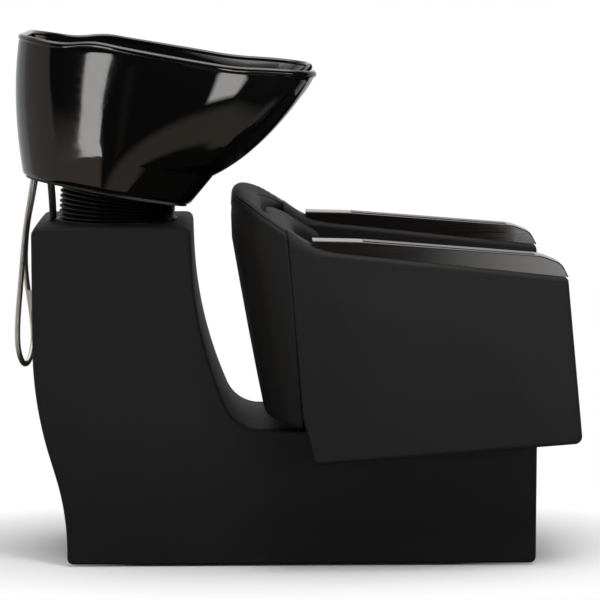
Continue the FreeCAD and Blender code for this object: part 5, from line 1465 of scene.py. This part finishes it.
    def bellows(self) -> None:
        """Ribbed bellows between the rings, its rings fanned from level to the tilt.

        The radius outside is bellows_outside + bellows_rib * |sin(pi * ribs * s)|^0.75, with s
        the height share.
        """
        share = np.linspace(0, 1, self.ribs * 10 + 1)
        rib = np.abs(np.sin(np.pi * self.ribs * share)) ** 0.75
        radius = self.bellows_outside + self.bellows_rib * rib
        share = np.concatenate([share, share[::-1][::5]])
        radius = np.concatenate([radius, np.full(len(share) - len(radius),
                                                 self.bellows_inside)])
        a = np.linspace(0, 2 * np.pi, 96, endpoint=False)
        low = np.array([self.pivot[0], 0, self.bellows_ends[0]])
        high = self.tilt(np.array([self.pivot[0], 0, self.bellows_ends[1]]))
        lean = np.radians(self.tilt_deg) * share
        centre = low + (high - low) * share[:, None]
        x = centre[:, :1] + radius[:, None] * np.cos(a) * np.cos(lean)[:, None]
        y = radius[:, None] * np.sin(a)
        z = centre[:, 2:] - radius[:, None] * np.cos(a) * np.sin(lean)[:, None]
        points = np.stack([x, y, z], -1)
        piece = make_piece("rubber_bellows", points.reshape(-1, 3),
                           grid_faces(len(share), 96, True, True), self.finishes["black_rubber"])
        dress(piece, ["bellows"])
        self.follow_tilt(piece)

    def follow_tilt(self, piece: Piece) -> None:
        """Bakes a piece's placement into its mesh."""
        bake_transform(piece)

    def spray_loop(self) -> None:
        """Interlocked steel hose as one free loop, with its strip turns as real ribs."""
        high, low = self.tap_heights
        top = [self.tilt(np.array([self.tap_x, s * self.tap_half, z]))
               for s, z in ((-1, high), (-1, low), (1, low), (1, high))]
        route = [tuple(p) for p in top[:2]] + list(self.loop) + [tuple(p) for p in top[2:]]
        line = smooth_route("spray_hose_route", route, self.turn_pitch / len(self.turn_radii))
        radius = np.resize(self.turn_radii, len(line))
        radius[-1] = radius[0]
        piece = tube("spray_hose_steel", line, radius, self.finishes["hose_steel"], Body.LOOP, 16)
        dress(piece, ["spray_hose"])
        log.info("spray hose length %.3f m", runs(line)[-1] * MM)
        self.tag(line)

    def tag(self, line: Array) -> Piece:
        """Blank paper tag stuck to the front of the hose's far strand.

        Across its width w it lies flat on the strand and curls back by 0.02 * w * w.
        """
        z, w = np.meshgrid(np.linspace(*self.tag_heights, 12), np.linspace(*self.tag_across, 7),
                           indexing="ij")
        strand = line[(line[:, 1] > 30) & (line[:, 2] > 430) & (line[:, 2] < 500)]
        strand = strand[np.argsort(strand[:, 2])]
        x = np.interp(z, strand[:, 2], strand[:, 0]) + w
        front = np.interp(z, strand[:, 2], strand[:, 1]) - 5.4 + 0.02 * w * w
        sheet = np.stack([x, front, z], -1)
        points = np.concatenate([sheet, sheet[:, ::-1] - (0, self.tag_sheet, 0)], 1)
        piece = make_piece("paper_tag", points.reshape(-1, 3), capped_faces(*points.shape[:2]),
                           self.finishes["tag_paper"], Body.LOOP)
        dress(piece, ["hose_tag"])
        return piece

    def supply_hoses(self) -> None:
        """Two sleeved supply hoses from the mixer into the column."""
        for word, y, free in self.supply_routes:
            fixed = [tuple(self.tilt(np.array([self.supply_x, y, z]))) for z in self.supply_top]
            line = smooth_route(f"supply_{word}", fixed + list(free), 4.0)
            piece = tube(f"supply_sleeve_{word}", line, self.supply_radius,
                         self.finishes["hose_rubber"], None, 14)
            dress(piece, [f"supply_hose_{word}"])
            self.follow_tilt(piece)

    def drain(self) -> None:
        """Ribbed drain hose inside the bellows, bent at the pivot's height."""
        top = self.tilt(np.array([self.pivot[0], 0, self.drain_ends[0]]))
        route = [tuple(top), (self.pivot[0], 0, self.pivot[1]),
                 (self.pivot[0], 0, self.drain_ends[1])]
        line = smooth_route("drain_route", route, 1.5)
        rib = np.cos(np.arange(len(line)) * np.pi / 2)
        radius = self.drain_radius + self.drain_rib * rib
        piece = tube("drain_hose_ribbed", line, radius, self.finishes["waste_plastic"], None, 32)
        dress(piece, ["drain_hose"])
        self.follow_tilt(piece)

    def build(self) -> None:
        """Makes the basin and what hangs from it, cords first."""
        self.spray_loop()
        self.supply_hoses()
        self.bowl()
        self.bellows()
        self.drain()


# Room


class Shows(Enum):
    """Which rays a lamp takes part in."""

    ALL = "all"
    DULL = "dull"


@dataclass(frozen=True)
class Lamp:
    """One rectangular lamp, in metres and watts."""

    name: str
    at: tuple[float, float, float]
    towards: tuple[float, float, float]
    size: tuple[float, float]
    watts: float
    shows: Shows = Shows.ALL


@dataclass(frozen=True)
class GlossPanel:
    """Part of the surround that only gloss sees: its bearings, heights, soft edge, strength.

    Bearings run from the -Y direction towards +X, heights from level upwards, in degrees.
    """

    bearings: tuple[float, float]
    heights: tuple[float, float]
    soft_deg: float
    strength: float
    tint: str


@dataclass
class Studio:
    """Camera, soft lamps, pale floor and white surround."""

    camera_at: tuple[float, float, float] = (-0.0925, -5.13, 1.1256)
    pitch_deg: float = 7.285
    yaw_deg: float = 1.166
    focal_px: float = 2777.0
    frame_px: float = 600.0
    room_light: float = 0.40
    floor_span: tuple[tuple[float, float], ...] = ((-0.95, -0.46), (0.95, 0.9))
    panels: tuple[GlossPanel, ...] = (
        GlossPanel((-181.0, 181.0), (-68.0, -52.0), 2.5, 0.46, "fff0dc"),
        GlossPanel((-181.0, 181.0), (55.0, 95.0), 10.0, 3.6, "fffaf5"),
        GlossPanel((-181.0, 181.0), (-95.0, 95.0), 1.0, 0.03, "ffffff"),
        GlossPanel((-44.0, -37.0), (-50.0, -10.0), 3.0, 0.10, "ffe2c8"),
        GlossPanel((-150.0, -54.0), (-60.0, 90.0), 2.0, 0.62, "fae8dc"),
        GlossPanel((9.0, 27.0), (-47.0, -15.0), 1.5, 6.5, "fffdfa"))
    lamps: tuple[Lamp, ...] = (
        Lamp("softbox_left", (-1.6, -1.8, 1.5), (-0.3, 0, 0.5), (0.7, 1.2), 11.0, Shows.DULL),
        Lamp("softbox_right", (0.45, -0.95, 1.35), (0.2, -0.2, 0.3), (0.5, 0.4), 12.0,
             Shows.DULL),
        Lamp("overhead", (0.0, -0.2, 3.0), (0, 0, 0.4), (2.2, 1.6), 16.0))
    under_glow: float = 0.03
    fade_half: tuple[float, float] = (0.93, 0.45)
    card_strength: float = 7.0
    strip_y: float = -0.9
    arm_card_y: float = -1.3
    arm_card: tuple[tuple[float, float], ...] = ((0.2, 1.15), (0.38, 0.62))
    arm_shades: tuple[tuple[float, float], ...] = ((0.28, 0.1), (0.76, 7.0))
    strip: tuple[tuple[float, float, float, float], ...] = (
        (-1.065, 0.800, -0.935, 0.975), (-1.075, 0.770, -0.985, 0.810),
        (-1.370, -0.005, -1.305, 0.015), (-1.425, -0.165, -1.365, -0.160),
        (-1.480, -0.380, -1.325, -0.365))

    def camera(self) -> None:
        """Camera at the photograph's angle, for a 600 by 600 frame."""
        data = bpy.data.cameras.new("camera")
        data.sensor_fit = "HORIZONTAL"
        data.sensor_width = 36.0
        data.lens = self.focal_px / self.frame_px * data.sensor_width
        data.clip_end = 60.0
        camera = bpy.data.objects.new("camera", data)
        camera.location = self.camera_at
        camera.rotation_euler = (math.radians(90 - self.pitch_deg), 0,
                                 -math.radians(self.yaw_deg))
        bpy.context.scene.collection.objects.link(camera)
        bpy.context.scene.camera = camera

    def lamp(self, lamp: Lamp) -> None:
        """Soft rectangular lamp aimed at a point, which the camera itself does not see."""
        data = bpy.data.lights.new(lamp.name, "AREA")
        data.shape = "RECTANGLE"
        data.size, data.size_y = lamp.size
        data.energy = lamp.watts
        holder = bpy.data.objects.new(lamp.name, data)
        holder.location = lamp.at
        aim = (Vector(lamp.towards) - Vector(lamp.at)).to_track_quat("-Z", "Y")
        holder.rotation_euler = aim.to_euler()
        holder.visible_camera = False
        holder.visible_glossy = lamp.shows is not Shows.DULL
        bpy.context.scene.collection.objects.link(holder)

    def card(self, name: str, corners: Array, faces: Sequence[Sequence[int]],
             shades: Sequence[tuple[float, float]]) -> None:
        """Lit card that only gloss sees, in the plane of a constant Y.

        Args:
            name: the card's name.
            corners: its points in metres.
            faces: their numbers in each face.
            shades: (X, strength) pairs that the glow runs through.
        """
        mesh = bpy.data.meshes.new(name)
        mesh.from_pydata(corners, [], faces)
        card = bpy.data.objects.new(name, mesh)
        bpy.context.scene.collection.objects.link(card)
        material, tree, shader = fresh_tree(f"lit_diffuser_{name}")
        tree.nodes.remove(shader)
        across = add_node(tree, "ShaderNodeSeparateXYZ", None, {0: place(tree)}).outputs[0]
        strength = ramp(tree, across, shades[0][0], shades[1][0], shades[0][1], shades[1][1])
        glow = add_node(tree, "ShaderNodeEmission", None,
                        {"Color": srgb("fffdfa"), "Strength": strength})
        show(tree, glow.outputs[0])
        mesh.materials.append(material)
        card.visible_camera = card.visible_diffuse = card.visible_shadow = False

    def cards(self) -> None:
        """Bent strip left of the camera, and the fading card by the arm caps.

        Each row of the strip holds X and Z of its left edge and of its right edge.
        """
        edges = np.array(self.strip).reshape(-1, 2)
        self.card("strip", np.insert(edges, 1, self.strip_y, axis=1),
                  [(k, k + 2, k + 3, k + 1) for k in range(0, len(edges) - 2, 2)],
                  ((-2.0, self.card_strength), (0.0, self.card_strength)))
        (x1, x2), (z1, z2) = self.arm_card
        flat = np.insert([(x1, z1), (x2, z1), (x2, z2), (x1, z2)], 1, self.arm_card_y, axis=1)
        self.card("arm", flat, [(0, 1, 2, 3)], self.arm_shades)

    def window(self, tree: Tree, value: Socket,
               span: tuple[float, float], soft: float) -> Socket:
        """One inside a span of angles and nought outside, with soft edges; degrees."""
        low, high, soft = math.radians(span[0]), math.radians(span[1]), math.radians(soft)
        rise = ramp(tree, value, low - soft, low + soft, 0.0, 1.0)
        fall = ramp(tree, value, high - soft, high + soft, 1.0, 0.0)
        return add_node(tree, "ShaderNodeMath", {"operation": "MULTIPLY"},
                        {0: rise, 1: fall}).outputs[0]

    def gloss_room(self, tree: Tree) -> Socket:
        """Colour that gloss sees: white behind the object, a dim room and its panels.

        The bearing of a direction is atan2(x, -y), its height arcsin z.
        """
        way = add_node(tree, "ShaderNodeTexCoord").outputs["Generated"]
        parts = add_node(tree, "ShaderNodeSeparateXYZ", None, {0: way})
        front = add_node(tree, "ShaderNodeMath", {"operation": "MULTIPLY"},
                         {0: parts.outputs[1], 1: -1.0})
        bearing = add_node(tree, "ShaderNodeMath", {"operation": "ARCTAN2"},
                           {0: parts.outputs[0], 1: front.outputs[0]}).outputs[0]
        height = add_node(tree, "ShaderNodeMath", {"operation": "ARCSINE"},
                          {0: parts.outputs[2]}).outputs[0]
        back = ramp(tree, parts.outputs[1], 0.2, 0.45, 0.0, 0.8)
        total = add_node(tree, "ShaderNodeCombineXYZ", None, {0: back, 1: back, 2: back}).outputs[0]
        for panel in self.panels:
            share = add_node(tree, "ShaderNodeMath", {"operation": "MULTIPLY"},
                             {0: self.window(tree, bearing, panel.bearings, panel.soft_deg),
                              1: self.window(tree, height, panel.heights, panel.soft_deg)})
            colour = tuple(c * panel.strength for c in srgb(panel.tint)[:3])
            glow = add_node(tree, "ShaderNodeVectorMath", {"operation": "SCALE"}, {0: colour})
            tree.links.new(share.outputs[0], glow.inputs["Scale"])
            total = add_node(tree, "ShaderNodeVectorMath", {"operation": "MAXIMUM"},
                             {0: total, 1: glow.outputs[0]}).outputs[0]
        return total

    def surround(self) -> None:
        """World: white to the camera, even light on the object, its own room for gloss."""
        world = bpy.data.worlds.new("studio")
        bpy.context.scene.world = world
        world.use_nodes = True
        tree = world.node_tree
        tree.nodes.clear()
        rays = add_node(tree, "ShaderNodeLightPath")
        glossy = add_node(tree, "ShaderNodeBackground", None, {"Color": self.gloss_room(tree)})
        dull = add_node(tree, "ShaderNodeBackground", None,
                        {"Color": (1, 1, 1, 1), "Strength": self.room_light})
        seen = add_node(tree, "ShaderNodeBackground", None,
                        {"Color": (1, 1, 1, 1), "Strength": 1.0})
        mixed = add_node(tree, "ShaderNodeMixShader", None,
                         {0: rays.outputs["Is Glossy Ray"], 1: dull.outputs[0],
                          2: glossy.outputs[0]})
        through = add_node(tree, "ShaderNodeMath", {"operation": "MAXIMUM"},
                           {0: rays.outputs["Is Camera Ray"],
                            1: rays.outputs["Is Transmission Ray"]})
        final = add_node(tree, "ShaderNodeMixShader", None,
                         {0: through.outputs[0], 1: mixed.outputs[0], 2: seen.outputs[0]})
        add_node(tree, "ShaderNodeOutputWorld", None, {0: final.outputs[0]})

    def floor(self) -> None:
        """Pale floor under the object that fades to white over an ellipse round it.

        The fade runs with the distance in shares of the ellipse, from 0.45 to 0.98. Gloss sees
        an almost black floor, because the object's own shadow lies on it.
        """
        (x1, y1), (x2, y2) = self.floor_span
        mesh = bpy.data.meshes.new("floor")
        mesh.from_pydata([(x1, y1, 0), (x2, y1, 0), (x2, y2, 0), (x1, y2, 0)], [], [(0, 1, 2, 3)])
        floor = bpy.data.objects.new("floor", mesh)
        bpy.context.scene.collection.objects.link(floor)
        material, tree, shader = fresh_tree("matt_white_floor")
        shader.inputs["Base Color"].default_value = srgb("f4f4f4")
        shader.inputs["Roughness"].default_value = 0.9
        shader.inputs["Specular IOR Level"].default_value = 0.1
        scaled = add_node(tree, "ShaderNodeMapping", None,
                          {"Vector": place(tree),
                           "Scale": (1 / self.fade_half[0], 1 / self.fade_half[1], 1.0)})
        far = add_node(tree, "ShaderNodeVectorMath", {"operation": "LENGTH"},
                       {0: scaled.outputs[0]})
        rays = add_node(tree, "ShaderNodeLightPath")
        fade = ramp(tree, far.outputs["Value"], 0.45, 0.98, 0.0, 1.0)
        seen = add_node(tree, "ShaderNodeMath", {"operation": "MULTIPLY"},
                        {0: fade, 1: rays.outputs["Is Camera Ray"]})
        white = add_node(tree, "ShaderNodeEmission", None, {"Color": (1, 1, 1, 1),
                                                            "Strength": 1.0})
        lit = add_node(tree, "ShaderNodeMixShader", None,
                       {0: seen.outputs[0], 1: shader.outputs[0], 2: white.outputs[0]})
        under = add_node(tree, "ShaderNodeEmission", None,
                         {"Color": srgb(self.panels[0].tint), "Strength": self.under_glow})
        mixed = add_node(tree, "ShaderNodeMixShader", None,
                         {0: rays.outputs["Is Glossy Ray"], 1: lit.outputs[0],
                          2: under.outputs[0]})
        show(tree, mixed.outputs[0])
        mesh.materials.append(material)

    def build(self) -> None:
        """Lights and frames the object."""
        self.camera()
        self.surround()
        self.floor()
        self.cards()
        for lamp in self.lamps:
            self.lamp(lamp)
        bpy.context.scene.view_settings.view_transform = "Standard"


def dress_frame(finishes: Finishes) -> None:
    """Gives every CAD node the finish of its record slot."""
    for entry in frame["record"]["subparts"]:
        node = frame["nodes"][entry["node"]]
        node.data.materials.clear()
        node.data.materials.append(finishes[entry["material_slot"]])


def main() -> None:
    """Builds the scene."""
    studio = Studio()
    studio.build()
    finishes = {slot: finish.build() for slot, finish in FINISHES.items()}
    dress_frame(finishes)
    Basin(finishes).build()
    Base(finishes).build()
    Chair(finishes).build()


if __name__ == "__main__":
    main()
